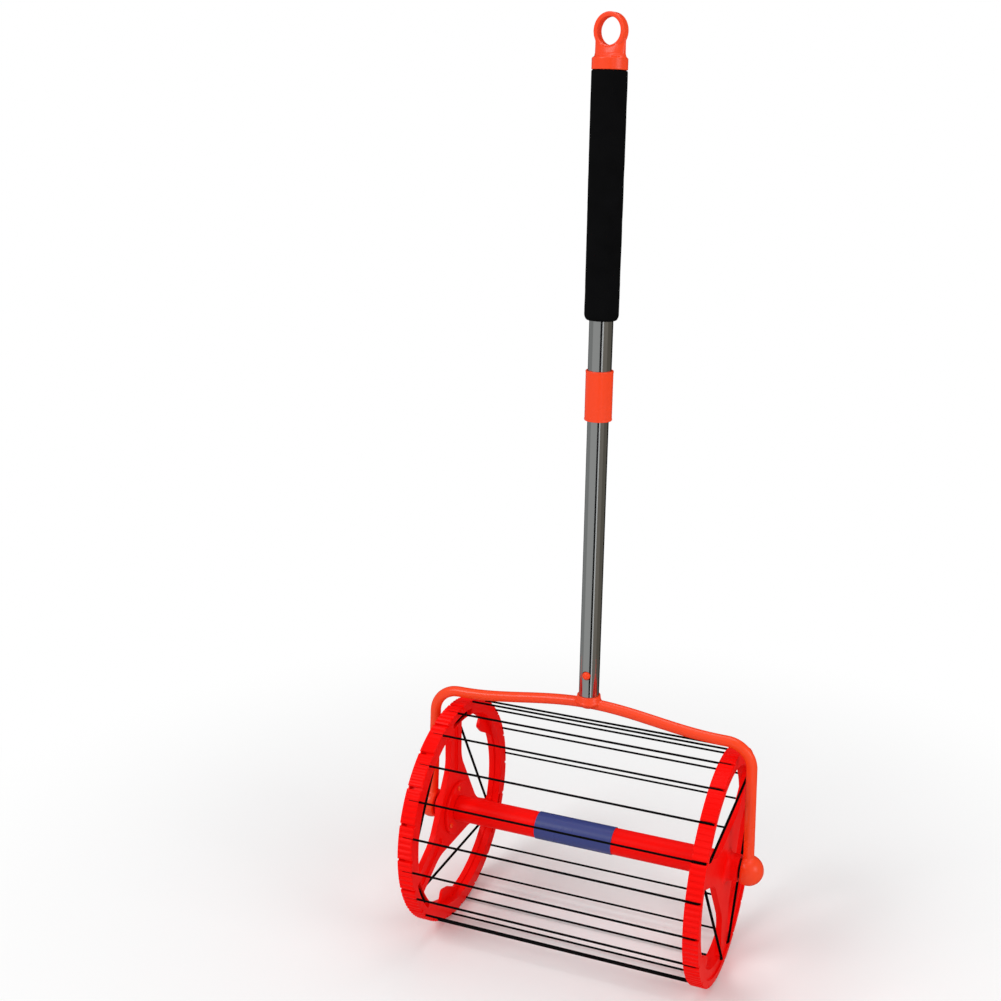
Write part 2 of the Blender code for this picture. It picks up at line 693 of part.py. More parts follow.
def screw_shape():
    """A round-headed screw at the top of the screw circle, its head inside the drum."""
    under_head = FLANGE_INNER_FACE - FIT
    head = SCREW_HEAD_DIAMETER / 2
    shank = SCREW_SHANK_DIAMETER / 2
    tip = WEB_INNER_FACE + SCREW_BITE
    screw = turned("screw", [
        (0, tip), (shank / 2, tip), (shank, tip - SCREW_POINT), (shank, under_head),
        (head, under_head), (head, under_head - SCREW_HEAD_SIDE),
        (head - SCREW_HEAD_SLOPE, under_head - SCREW_HEAD_HEIGHT),
        (0, under_head - SCREW_HEAD_HEIGHT)], 8, False)
    return moved(screw, Matrix.Translation((0, SCREW_CIRCLE, 0)))


def yoke_path():
    """The bar's centre line, from one knob over the crossbar to the other."""
    corner_x = ARM_TOP - CORNER_RADIUS
    corner_z = CROSSBAR_Z - CORNER_RADIUS
    start_z = AXLE_HEIGHT + AXLE_DIAMETER / 2 + FIT + BAR_END_GAP
    lean = ARM_SPLAY * (start_z - AXLE_HEIGHT) / (corner_z - AXLE_HEIGHT)
    side = [(KNOB_CENTRE - lean, start_z)]
    side += arc((corner_x, corner_z), CORNER_RADIUS, 0, 90, 5)
    steps = 6
    for i in range(1, steps + 1):
        x = corner_x * (1 - i / steps)
        rise = 0.0
        if x < PEAK_HALF_LENGTH:
            rise = CROSSBAR_PEAK * (1 + math.cos(math.pi * x / PEAK_HALF_LENGTH)) / 2
        side.append((x, CROSSBAR_Z + rise))
    right = [(x, 0.0, z) for x, z in side]
    left = [(-x, 0.0, z) for x, z in reversed(side[:-1])]
    return right + left


def knob_shape():
    """A ball with a flat face towards the drum and a blind bore for the axle."""
    bore = AXLE_DIAMETER / 2 + FIT
    flat = math.sqrt(KNOB_RADIUS ** 2 - (KNOB_FLAT - KNOB_EDGE) ** 2)
    start = math.degrees(math.asin((KNOB_EDGE - KNOB_FLAT) / KNOB_RADIUS))
    ball = arc((0, KNOB_CENTRE), KNOB_RADIUS, 90, start, 8)
    profile = [(0, ball[0][1])] + ball[1:]
    profile += [(flat - KNOB_EDGE, KNOB_FACE), (bore, KNOB_FACE)]
    profile += [(bore, AXLE_END + FIT), (0, AXLE_END + FIT)]
    return turned("knob", profile, 20, False)


def make_yoke(colours, parent):
    """The yoke with its spigot and knobs, the axle, and the snap button's spring."""
    yoke = tube_along("yoke_bar", yoke_path(), BAR_DIAMETER, 3)
    spigot_top = LOWER_TUBE_BOTTOM + SPIGOT_LENGTH
    foot_z = PEAK_Z - BAR_DIAMETER / 2 + 2 * SHOULDER_SINK
    boss = turned("yoke_boss", [
        (0, SPIGOT_WELL), (SPIGOT_BORE, SPIGOT_WELL), (SPIGOT_BORE, spigot_top),
        (SPIGOT_RADIUS, spigot_top),
        (SPIGOT_RADIUS, LOWER_TUBE_BOTTOM - FIT),
        (LOWER_TUBE_RADIUS + SHOULDER_STEP, LOWER_TUBE_BOTTOM - FIT),
        (SHOULDER_RADIUS - SHOULDER_SLOPE, PEAK_Z + BAR_DIAMETER / 2 - SHOULDER_SINK),
        (SHOULDER_RADIUS, PEAK_Z), (SHOULDER_RADIUS - SHOULDER_FOOT, foot_z),
        (0, foot_z)], 24, False)
    combine(yoke, boss, "UNION")
    for turn in (Matrix(), HALF_TURN):
        knob = moved(knob_shape(), Matrix.Translation((0, 0, AXLE_HEIGHT)) @ turn @ ALONG_X)
        combine(yoke, knob, "UNION")
    opening = cylinder("spigot_hole", BUTTON_DIAMETER / 2 + FIT, 0.0, SPIGOT_RADIUS + CUT_PAST)
    moved(opening, Matrix.Translation((0, 0, BUTTON_Z)) @ Matrix.Rotation(math.pi / 2, 4, "X"))
    combine(yoke, opening, "DIFFERENCE")
    place("yoke_frame", finished(yoke), colours["orange_plastic"], parent,
          Matrix.Translation(-parent_place(parent)))

    radius = AXLE_DIAMETER / 2
    axle = turned("axle", [
        (0, AXLE_END), (radius - AXLE_EDGE, AXLE_END), (radius, AXLE_END - AXLE_EDGE),
        (radius, AXLE_EDGE - AXLE_END), (radius - AXLE_EDGE, -AXLE_END), (0, -AXLE_END)], 20, False)
    place("axle_rod", finished(axle, ALONG_X), colours["steel"], parent,
          Matrix.Translation(Vector((0, 0, AXLE_HEIGHT)) - parent_place(parent)))
    place("snap_spring", finished(spring_shape()), colours["spring_steel"], parent,
          Matrix.Translation(-parent_place(parent)))


def spring_shape():
    """A strip bent into a U in the spigot's bore, behind and below the button."""
    reach = math.sqrt((SPIGOT_BORE - FIT) ** 2 - (SPRING_WIDTH / 2) ** 2)
    back = reach - SPRING_THICKNESS
    bottom = SPIGOT_WELL + FIT
    top = BUTTON_Z + BUTTON_DIAMETER / 2 + SPRING_ABOVE_BUTTON
    short = BUTTON_Z - BUTTON_FLANGE_DIAMETER / 2 - SPRING_BELOW_BUTTON
    outer = SPRING_CORNER
    inner = SPRING_CORNER + SPRING_THICKNESS / 2
    outline = [(back, top), (reach, top), (reach, bottom + outer), (reach - outer, bottom),
               (outer - reach, bottom), (-reach, bottom + outer), (-reach, short), (-back, short),
               (-back, bottom + inner), (inner - reach, bottom + SPRING_THICKNESS),
               (reach - inner, bottom + SPRING_THICKNESS), (back, bottom + inner)]
    strip = plate("spring", [outline], -SPRING_WIDTH / 2, SPRING_WIDTH / 2)
    return moved(strip, Matrix(((0, 0, 1, 0), (1, 0, 0, 0), (0, 1, 0, 0), (0, 0, 0, 1))))


def make_button(colours, parent):
    """The snap button, pointing to the front through the spigot and the tube."""
    tip = LOWER_TUBE_RADIUS + BUTTON_PROUD
    radius = BUTTON_DIAMETER / 2
    flange_face = math.sqrt(SPIGOT_BORE ** 2 - (BUTTON_FLANGE_DIAMETER / 2) ** 2) - FIT
    dome = [(u, tip - BUTTON_DOME + v * BUTTON_DOME / radius) for u, v in arc((0, 0), radius, 90, 0, 4)]
    profile = [(0, tip)] + dome[1:]
    profile += [(radius, flange_face), (BUTTON_FLANGE_DIAMETER / 2, flange_face),
                (BUTTON_FLANGE_DIAMETER / 2, flange_face - BUTTON_FLANGE_THICKNESS),
                (0, flange_face - BUTTON_FLANGE_THICKNESS)]
    button = turned("button", profile, 16, False)
    place("snap_button", finished(button, Matrix.Rotation(math.pi / 2, 4, "X")),
          colours["orange_plastic"], parent)


def tube_shape(name, radius, bore, bottom, top):
    return turned(name, [(radius, top), (radius, bottom), (bore, bottom), (bore, top)])


def make_pole(colours, handle, lock, pole):
    """The two tubes, the twist lock between them, the collar and the grip."""
    lower = tube_shape("lower", LOWER_TUBE_RADIUS, LOWER_TUBE_BORE, LOWER_TUBE_BOTTOM, LOWER_TUBE_TOP)
    opening = cylinder("tube_hole", BUTTON_DIAMETER / 2 + 2 * FIT, 0.0, LOWER_TUBE_RADIUS + CUT_PAST, 20)
    moved(opening, Matrix.Translation((0, 0, BUTTON_Z)) @ Matrix.Rotation(math.pi / 2, 4, "X"))
    combine(lower, opening, "DIFFERENCE")
    place("lower_tube", finished(lower), colours["chrome"], pole, Matrix.Translation(-parent_place(pole)))

    flange = UPPER_TUBE_BORE - LOCK_ROOM
    plug = turned("plug", [
        (0, NECK_BOTTOM), (flange, NECK_BOTTOM), (flange, LOWER_TUBE_TOP + FIT),
        (LOWER_TUBE_BORE - FIT, LOWER_TUBE_TOP + FIT),
        (LOWER_TUBE_BORE - FIT, LOWER_TUBE_TOP - LOCK_STEM), (0, LOWER_TUBE_TOP - LOCK_STEM)], 20, False)
    cam = cylinder("plug_cam", LOCK_NECK_RADIUS, NECK_BOTTOM - CUT_PAST, NECK_TOP + CUT_PAST, 20)
    moved(cam, Matrix.Translation((LOCK_OFFSET, 0, 0)))
    head = cylinder("plug_head", flange, NECK_TOP, NECK_TOP + LOCK_FLANGE, 20)
    combine(combine(plug, cam, "UNION"), head, "UNION")
    place("lock_plug", finished(plug), colours["black_nylon"], pole, Matrix.Translation(-parent_place(pole)))

    sleeve_bore = LOCK_NECK_RADIUS + LOCK_OFFSET + FIT
    sleeve = tube_shape("sleeve", UPPER_TUBE_BORE - FIT, sleeve_bore, NECK_BOTTOM + FIT, NECK_TOP - FIT)
    slit = box("sleeve_slit", (-LOCK_SLIT / 2, 0, NECK_BOTTOM), (LOCK_SLIT / 2, UPPER_TUBE_BORE, NECK_TOP))
    combine(sleeve, slit, "DIFFERENCE")
    place("lock_sleeve", finished(sleeve), colours["black_nylon"], lock,
          Matrix.Translation(-parent_place(lock)))

    upper = tube_shape("upper", UPPER_TUBE_RADIUS, UPPER_TUBE_BORE, UPPER_TUBE_BOTTOM, UPPER_TUBE_TOP)
    place("upper_tube", finished(upper), colours["chrome"], handle)
    collar_top = COLLAR_BOTTOM + COLLAR_LENGTH
    throat = LOWER_TUBE_RADIUS + SLIDE_FIT
    bore = UPPER_TUBE_RADIUS + FIT
    collar = turned("collar", [
        (COLLAR_RADIUS - COLLAR_EDGE, collar_top), (COLLAR_RADIUS, collar_top - COLLAR_EDGE),
        (COLLAR_RADIUS, COLLAR_BOTTOM + COLLAR_EDGE), (COLLAR_RADIUS - COLLAR_EDGE, COLLAR_BOTTOM),
        (throat, COLLAR_BOTTOM), (throat, COLLAR_BOTTOM + COLLAR_LIP),
        (bore, COLLAR_BOTTOM + COLLAR_LIP), (bore, collar_top)])
    place("lock_collar", finished(collar), colours["orange_plastic"], handle)
    grip = turned("grip", [
        (GRIP_RADIUS - GRIP_EDGE, UPPER_TUBE_TOP), (GRIP_RADIUS, UPPER_TUBE_TOP - GRIP_EDGE),
        (GRIP_RADIUS, GRIP_BOTTOM + GRIP_TAPER), (GRIP_RADIUS - GRIP_TAPER_DEPTH, GRIP_BOTTOM),
        (bore, GRIP_BOTTOM), (bore, UPPER_TUBE_TOP)])
    place("foam_grip", finished(grip), colours["black_foam"], handle)


def neck_mesh():
    """The saddle between the cap's round flange and the loop: a loft of flattening ovals."""
    sections = (
        (CAP_TOP - NECK_SINK, CAP_RADIUS - NECK_INSET, CAP_RADIUS - NECK_INSET),
        (CAP_TOP, CAP_RADIUS - NECK_INSET, CAP_RADIUS - NECK_INSET - 2 * NECK_FLARE),
        (CAP_TOP + NECK_WAIST_HEIGHT * 0.4, NECK_WAIST + NECK_FLARE / 2, NECK_WAIST * 0.72),
        (CAP_TOP + NECK_WAIST_HEIGHT, NECK_WAIST, NECK_WAIST * 0.5),
        (CAP_TOP + NECK_WAIST_HEIGHT * 1.7, NECK_WAIST + NECK_FLARE, LOOP_WIDTH / 2 + NECK_FLARE),
        (LOOP_CENTRE - LOOP_RADIUS * 0.45, NECK_WAIST, LOOP_WIDTH / 2 - NECK_FLARE / 2),
    )
    sides = 24
    mesh = bpy.data.meshes.new("cap_neck")
    shape = bmesh.new()
    rings = []
    for height, half_width, half_depth in sections:
        ring = []
        for i in range(sides):
            turn = 2 * math.pi * i / sides
            ring.append(shape.verts.new((half_width * math.cos(turn), half_depth * math.sin(turn), height)))
        rings.append(ring)
    for lower, upper in zip(rings, rings[1:]):
        for i in range(sides):
            j = (i + 1) % sides
            shape.faces.new((lower[i], lower[j], upper[j], upper[i]))
    shape.faces.new(list(reversed(rings[0])))
    shape.faces.new(rings[-1])
    shape.to_mesh(mesh)
    shape.free()
    return link_as_cutter(bpy.data.objects.new("cap_neck", mesh))


def make_cap(colours, parent):
    """The end cap: a plug in the tube, a flange on the grip, and the hanging loop."""
    plug = UPPER_TUBE_BORE - FIT
    cap = turned("cap", [
        (0, CAP_TOP), (CAP_RADIUS - CAP_EDGE, CAP_TOP), (CAP_RADIUS, CAP_TOP - CAP_EDGE),
        (CAP_RADIUS, CAP_BOTTOM), (plug, CAP_BOTTOM), (plug, CAP_BOTTOM - CAP_PLUG + CAP_EDGE),
        (plug - CAP_EDGE, CAP_BOTTOM - CAP_PLUG), (0, CAP_BOTTOM - CAP_PLUG)], ROUND_STEPS, False)
    combine(cap, neck_mesh(), "UNION")
    edge = LOOP_EDGE
    half = LOOP_WIDTH / 2
    loop = turned("loop", [
        (LOOP_RADIUS - edge, half), (LOOP_RADIUS, half - edge), (LOOP_RADIUS, edge - half),
        (LOOP_RADIUS - edge, -half), (LOOP_HOLE_RADIUS + edge, -half),
        (LOOP_HOLE_RADIUS, edge - half), (LOOP_HOLE_RADIUS, half - edge),
        (LOOP_HOLE_RADIUS + edge, half)], 32)
    upright = Matrix.Translation((0, 0, LOOP_CENTRE)) @ Matrix.Rotation(math.pi / 2, 4, "X")
    hole = cylinder("loop_hole", LOOP_HOLE_RADIUS + LOOP_BAND / 2, -CAP_RADIUS, CAP_RADIUS, 32)
    combine(cap, moved(hole, upright), "DIFFERENCE")
    combine(cap, moved(loop, upright), "UNION")
    place("hanging_cap", finished(cap), colours["orange_plastic"], parent,
          Matrix.Rotation(math.radians(CAP_TURN), 4, "Z"))


def make_materials():
    return {
        "red_plastic": make_material("red_plastic", (0.88, 0.012, 0.008), 0.35),
        "orange_plastic": make_material("orange_plastic", (0.90, 0.045, 0.014), 0.35),
        "black_foam": make_material("black_foam", (0.012, 0.012, 0.013), 0.85),
        "chrome": make_material("chrome", (0.62, 0.61, 0.59), 0.16, 1.0),
        "steel": make_material("steel", (0.55, 0.55, 0.54), 0.3, 1.0),
        "spring_steel": make_material("spring_steel", (0.35, 0.36, 0.38), 0.3, 1.0),
        "black_wire": make_material("black_wire", (0.012, 0.012, 0.012), 0.4),
        "black_cord": make_material("black_cord", (0.01, 0.01, 0.01), 0.7),
        "black_nylon": make_material("black_nylon", (0.015, 0.015, 0.016), 0.5),
        "blue_label": make_material("blue_label", (0.05, 0.075, 0.32), 0.4),
    }


def main():
    colours = make_materials()
    handle = make_empty("handle", (0, 0, 0))
    lock = make_empty("twist_lock", (0, 0, LOWER_TUBE_TOP), handle)
    pole = make_empty("pole", (0, 0, LOWER_TUBE_TOP), lock)
    drum = make_empty("drum", (0, 0, AXLE_HEIGHT), pole)
    button = make_empty("button", (0, 0, BUTTON_Z), pole)
    make_cap(colours, handle)
    make_pole(colours, handle, lock, pole)
    make_yoke(colours, pole)
    make_button(colours, button)
    make_drum(colours, drum)


clear_scene()
PIECES = make_collection("ball_hopper")
CUTTERS = make_collection("hopper_cutters")
main()
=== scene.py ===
"""Looks of a rolling-cage hopper that picks up table tennis balls.

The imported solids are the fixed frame. Most pieces that show are modelled again here at the
same size, with their moulded, drawn and laced detail. Lengths are in metres and angles in
degrees. The drum's pieces are modelled about Z before they are laid along the axle.
"""

import math

import bmesh
import bpy
from bpy.props import FloatProperty, FloatVectorProperty, PointerProperty
from mathutils import Matrix, Vector


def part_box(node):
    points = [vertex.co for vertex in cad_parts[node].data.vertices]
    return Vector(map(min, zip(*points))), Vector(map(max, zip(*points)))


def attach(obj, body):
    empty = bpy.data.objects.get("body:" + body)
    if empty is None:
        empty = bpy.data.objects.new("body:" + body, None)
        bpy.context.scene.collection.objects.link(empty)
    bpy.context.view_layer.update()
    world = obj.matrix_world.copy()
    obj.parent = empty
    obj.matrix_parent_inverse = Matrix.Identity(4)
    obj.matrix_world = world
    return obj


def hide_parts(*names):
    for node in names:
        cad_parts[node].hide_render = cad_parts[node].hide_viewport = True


bl_info = {
    "name": "Ball pickup hopper",
    "version": (1, 0, 0),
    "blender": (4, 5, 0),
    "location": "View3D > Sidebar > Hopper",
    "description": "Dresses the packed ball pickup hopper with modelled pieces and finishes",
    "category": "Object",
}

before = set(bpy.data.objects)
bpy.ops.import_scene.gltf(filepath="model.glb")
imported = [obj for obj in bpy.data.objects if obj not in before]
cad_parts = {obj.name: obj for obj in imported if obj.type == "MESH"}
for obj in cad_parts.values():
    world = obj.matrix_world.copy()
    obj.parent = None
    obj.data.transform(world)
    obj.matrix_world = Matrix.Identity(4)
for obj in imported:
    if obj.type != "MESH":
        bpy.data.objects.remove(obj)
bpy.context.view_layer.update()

# Clearances, and how finely the round pieces are divided
FIT = 0.0003
CUT_PAST = 0.001
NEAR = 1e-5
RIM_SIDES = 240
ROUND_STEPS = 96

# The drum, measured from the frame and about the axle
AXLE = (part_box("axle_rod")[0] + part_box("axle_rod")[1]) / 2
WHEEL_RADIUS = 0.118
BAND_RADIUS = 0.1168
RIM_BORE_RADIUS = 0.102
LIP_RADIUS = 0.110
RIM_INNER_FACE = 0.1375
RIM_OUTER_FACE = 0.153
WEB_INNER_FACE = 0.145
WEB_OUTER_FACE = 0.151
HUB_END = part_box("wheel_right")[1].x
HUB_RADIUS = 0.0135
HUB_FILLET = 0.006
HUB_BORE = 0.0064
SLOT_COUNT = 20
SLOT_STEPS = 25
SLOT_WIDTH = 0.003
SLOT_FLOOR = 0.1144
RIB_ENDS = (RIM_INNER_FACE + 0.0012, RIM_OUTER_FACE - 0.0006)
WINDOW_COUNT = 3
WINDOW_RADIUS = 0.1002
WINDOW_FLAT = 0.038
WINDOW_ROUND = 0.009
SPOKE_WIDTH = 0.027
FIRST_SPOKE = 180 / WINDOW_COUNT
SPOKES = [FIRST_SPOKE + 360 * i / WINDOW_COUNT for i in range(WINDOW_COUNT)]
CHANNEL_HALF_WIDTH = 0.00475
CHANNEL_ENDS = (0.040, 0.094)
CHANNEL_DEPTH = 0.0022
TAB_HALF_ANGLE = 20.8
TAB_ROOT_RADIUS = RIM_BORE_RADIUS + 0.004
TAB_NOSE_RADIUS = 0.0885
TAB_NOSE_ROUND = 0.0035
TAB_END_RADIUS = WINDOW_RADIUS + 0.0006
TAB_TOP = WEB_INNER_FACE + 0.0033
TAB_FLAT = 8.0
TAB_RAMP = 21.0
TAB_STEPS = 12
TAB_SIDES = ((0, 1), (120, 1), (240, -1))
DRUM_PHASE = 5.3
LEFT_PHASE = DRUM_PHASE + 3 * 360 / SLOT_COUNT
LEFT_INDEX = -120
WIRE_RADIUS = 0.1158
WIRE_BEND = 0.0025
HOOK_FOOT = 0.1113
HOOK_X = 0.1503
HOOK_HOLE_HALF_WIDTH = 0.0013
HOOK_HOLE_REACH = 0.0014
CORD_RADIUS = 0.106
CORD_OFFSET = 7.0
CORD_HOLE_RADIUS = 0.002
CORD_BEND = 0.002
CORD_LIFT = 0.0013
POCKET_FLOOR = 0.142
POCKET_HALF_WIDTH = 0.0027
POCKET_HALF_ANGLE = 12
FLANGE_RADIUS = 0.028
FLANGE_FACE = WEB_INNER_FACE - 0.0033
PLUG_RADIUS = 0.01166
PLUG_END = WEB_INNER_FACE - 0.0173
SCREW_CIRCLE = 0.0225
BUSH_RADIUS = 0.0061
BUSH_BORE = 0.0043
CENTRE_TUBE_RADIUS = 0.0135
CENTRE_TUBE_BORE = 0.012
LABEL_RADIUS = 0.0141
LABEL_BORE = 0.0138
LABEL_STEPS = 89
LABEL_SEAM = 200.0

# The yoke and the pole
BAR_DIAMETER = 0.011
BAR_CORNER = 0.026
BAR_RISE_END = 0.14
ARM_FOOT = 0.0073
ARM_LEAN = 0.004
KNOB_RADIUS = 0.0153
KNOB_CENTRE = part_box("yoke_frame")[1].x - KNOB_RADIUS
KNOB_FACE = KNOB_CENTRE - 0.0062
KNOB_BORE_END = KNOB_FACE + 0.0093
CROSSBAR_Z = 0.2525
PEAK_Z = 0.266
TUBE_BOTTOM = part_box("lower_tube")[0].z
LOWER_TUBE_RADIUS = 0.010
LOWER_TUBE_BORE = 0.0091
UPPER_TUBE_RADIUS = 0.011
UPPER_TUBE_BORE = 0.0103
BUTTON_Z = TUBE_BOTTOM + 0.0265
BUTTON_RADIUS = 0.004
BUTTON_TIP = 0.0128
BUTTON_DOME = 0.003
BUTTON_FLANGE = 0.0036
BUTTON_FLANGE_RADIUS = 0.0048
BUTTON_SPIGOT_HOLE = 0.0043
BUTTON_TUBE_HOLE = 0.0046
SPIGOT_RADIUS = 0.0088
SPIGOT_BORE = 0.0062
SPIGOT_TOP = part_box("yoke_frame")[1].z
GRIP_BORE = 0.0113
CAP_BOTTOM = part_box("upper_tube")[1].z + FIT
CAP_TOP = CAP_BOTTOM + 0.010
CAP_PLUG_RADIUS = 0.01
CAP_TURN = -12.0
LOOP_RADIUS = 0.01525
LOOP_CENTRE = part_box("hanging_cap")[1].z - LOOP_RADIUS
LOOP_HOLE_RADIUS = 0.0130
# Half width, half depth and rise of the cap's neck, from its foot to the loop
NECK_SECTIONS = ((0.0152, 0.0142, 0.0), (0.0152, 0.0138, 0.001), (0.0148, 0.0104, 0.0018),
                 (0.0147, 0.0074, 0.0044), (0.0149, 0.0050, 0.011), (0.0151, 0.0040, 0.0166))

# A piece modelled about Z is laid with its Z along +X
ALONG_X = Matrix(((0, 0, 1), (1, 0, 0), (0, 1, 0))).to_4x4()
RIGHT_SIDE = (Matrix.Translation(AXLE) @ Matrix.Rotation(math.radians(DRUM_PHASE), 4, "X") @ ALONG_X)
LEFT_SIDE = (Matrix.Translation(AXLE) @ Matrix.Rotation(math.radians(LEFT_PHASE), 4, "X")
             @ Matrix.Rotation(math.pi, 4, "Z") @ ALONG_X)
SIDES = (("left", LEFT_SIDE), ("right", RIGHT_SIDE))
ON_AXLE = Matrix.Translation((0, 0, AXLE.z)) @ ALONG_X
ON_SCREW_CIRCLE = Matrix.Translation((0, SCREW_CIRCLE, 0))


def length_setting(name, description, default, low, high):
    return FloatProperty(name=name, description=description, default=default, min=low, max=high,
                         unit="LENGTH")


def colour_setting(name, description, default):
    return FloatVectorProperty(name=name, description=description, default=default, min=0, max=1,
                               subtype="COLOR", size=3)


class HopperSizes(bpy.types.PropertyGroup):
    """Sizes of the modelled detail."""
    ribs: length_setting("Tread ribs", "Height of the ribs across the tread", 0.00108, 0.0, 0.0011)
    edge: length_setting("Moulded edge", "Rounding of the wheels' edges", 0.00035, 0.0001, 0.0006)
    wire: length_setting("Wire", "Diameter of a cage wire", 0.0022, 0.001, 0.0023)
    cord: length_setting("Cord", "Diameter of a window cord", 0.0027, 0.001, 0.0028)


class HopperColours(bpy.types.PropertyGroup):
    """Colours of the finishes."""
    wheel: colour_setting("Wheels", "Moulded wheels and centre tube", (0.96, 0.003, 0.0015))
    yoke: colour_setting("Yoke", "Yoke, collar, button and cap", (0.97, 0.06, 0.011))
    foam: colour_setting("Foam", "Foam grip", (0.0018, 0.0018, 0.0019))
    tube: colour_setting("Tubes", "Plated steel tubes", (0.58, 0.58, 0.57))
    label: colour_setting("Label", "Sleeve on the centre tube", (0.045, 0.062, 0.23))
    floor: colour_setting("Floor", "Studio floor", (0.9, 0.9, 0.9))


# Modelling


def rotation(angle, axis="Z"):
    return Matrix.Rotation(math.radians(angle), 4, axis)


def across_pole(height):
    """The place of a piece modelled about Z that lies across the pole, its top to the front."""
    return Matrix.Translation((0, 0, height)) @ rotation(90, "X")


def activate(obj):
    bpy.ops.object.select_all(action="DESELECT")
    obj.select_set(True)
    bpy.context.view_layer.objects.active = obj


def select_all():
    bpy.ops.mesh.select_all(action="SELECT")


def start_edit(obj, kind="FACE"):
    activate(obj)
    bpy.ops.object.mode_set(mode="EDIT")
    bpy.ops.mesh.select_mode(type=kind)
    bpy.ops.mesh.select_all(action="DESELECT")


def end_edit():
    bpy.ops.object.mode_set(mode="OBJECT")


def clean_and_end(threshold):
    """Merge doubled points, turn the faces outwards and leave edit mode."""
    select_all()
    bpy.ops.mesh.remove_doubles(threshold=threshold)
    bpy.ops.mesh.normals_make_consistent(inside=False)
    end_edit()


def pick_faces(obj, test):
    """Select the faces whose centre and normal pass the test."""
    shape = bmesh.from_edit_mesh(obj.data)
    for face in shape.faces:
        face.select_set(test(face.calc_center_median(), face.normal))
    bmesh.update_edit_mesh(obj.data)


def pick_edges(obj, test):
    """Select the edges whose two ends pass the test."""
    shape = bmesh.from_edit_mesh(obj.data)
    for edge in shape.edges:
        edge.select_set(test(edge.verts[0].co, edge.verts[1].co))
    bmesh.update_edit_mesh(obj.data)


def extrude(*move):
    bpy.ops.mesh.extrude_region_move(TRANSFORM_OT_translate={"value": move})


def widen(x, y):
    """Scale what is selected about the Z axis."""
    bpy.ops.transform.resize(value=(x, y, 1), center_override=(0, 0, 0))


def slice_off(place, direction):
    """Cut away what lies past a plane, on the side its direction points to."""
    select_all()
    bpy.ops.mesh.bisect(plane_co=place, plane_no=direction, use_fill=True,
                        clear_inner=False, clear_outer=True)


def bevel_edges(offset, segments):
    bpy.ops.mesh.bevel(offset=offset, segments=segments, affect="EDGES")


def add_shape(name, operator, **settings):
    """A primitive, with its place and size taken into its mesh."""
    bpy.ops.object.select_all(action="DESELECT")
    operator(**settings)
    obj = bpy.context.object
    obj.name = name
    activate(obj)
    bpy.ops.object.transform_apply(location=True, rotation=True, scale=True)
    return obj


def add_cylinder(name, radius, low, high, sides):
    return add_shape(name, bpy.ops.mesh.primitive_cylinder_add, vertices=sides, radius=radius,
                     depth=high - low, location=(0, 0, (low + high) / 2))


def add_box(name, low, high):
    middle = [(a + b) / 2 for a, b in zip(low, high)]
    size = [b - a for a, b in zip(low, high)]
    return add_shape(name, bpy.ops.mesh.primitive_cube_add, size=1.0, location=middle, scale=size)


def add_modifier(obj, kind, **settings):
    activate(obj)
    modifier = obj.modifiers.new(kind.lower(), kind)
    for key, value in settings.items():
        setattr(modifier, key, value)
    bpy.ops.object.modifier_apply(modifier=modifier.name)
    return obj


def placed(obj, place):
    obj.data.transform(place)
    return obj


def discard(*pieces):
    for piece in pieces:
        bpy.data.objects.remove(piece, do_unlink=True)


def boolean(obj, tool, operation="DIFFERENCE"):
    add_modifier(obj, "BOOLEAN", operation=operation, solver="EXACT", object=tool)
    discard(tool)
    return obj


def copy_of(obj, name, place):
    """A copy of a piece with a place and a turn taken into its mesh."""
    twin = obj.copy()
    twin.data = obj.data.copy()
    twin.data.transform(place)
    twin.name = name
    bpy.context.scene.collection.objects.link(twin)
    return twin


def joined(name, parts):
    bpy.ops.object.select_all(action="DESELECT")
    for part in parts:
        part.select_set(True)
    bpy.context.view_layer.objects.active = parts[0]
    bpy.ops.object.join()
    obj = bpy.context.object
    obj.name = name
    return obj


def ring_of(obj, count, start=0.0):
    """Copies of a tool turned about Z, joined as one."""
    copies = [copy_of(obj, obj.name, rotation(start + 360 * i / count)) for i in range(count)]
    discard(obj)
    return joined("ring", copies)


def round_edges(obj, width, angle=35):
    return add_modifier(obj, "BEVEL", width=width, segments=2, limit_method="ANGLE",
                        angle_limit=math.radians(angle), use_clamp_overlap=True, harden_normals=False)


def melt(obj, voxel, passes):
    """Remake a piece as one skin and soften it, so that its parts run together."""
    add_modifier(obj, "REMESH", mode="VOXEL", voxel_size=voxel, adaptivity=0.0)
    add_modifier(obj, "SMOOTH", factor=0.5, iterations=passes)


def shade(obj, angle=40, weighted=True):
    activate(obj)
    bpy.ops.object.shade_smooth_by_angle(angle=math.radians(angle))
    if weighted:
        add_modifier(obj, "WEIGHTED_NORMAL", keep_sharp=True, weight=50)
    return obj


def drawn_line(name, points):
    """A line from point to point, grown from one vertex by extrusion and left in edit mode."""
    obj = add_shape(name, bpy.ops.mesh.primitive_plane_add, size=0.01)
    start_edit(obj, "VERT")
    select_all()
    bpy.ops.mesh.merge(type="CENTER")
    bpy.ops.transform.translate(value=points[0])
    for last, point in zip(points, points[1:]):
        extrude(*[b - a for a, b in zip(last, point)])
    select_all()
    return obj


def turned(name, profile, steps=ROUND_STEPS, closed=True):
    """Turn a profile of (radius, height) points about Z with Blender's spin.

    An open profile starts and ends on the axis.
    """
    outline = profile + profile[:1] if closed else profile
    obj = drawn_line(name, [(radius, 0, height) for radius, height in outline])
    bpy.ops.mesh.spin(steps=steps, angle=2 * math.pi, center=(0, 0, 0), axis=(0, 0, 1),
                      use_auto_merge=True)
    clean_and_end(0.00001)
    return obj


def sleeve(name, radius, bore, low, high, steps=ROUND_STEPS):
    return turned(name, [(radius, high), (radius, low), (bore, low), (bore, high)], steps)


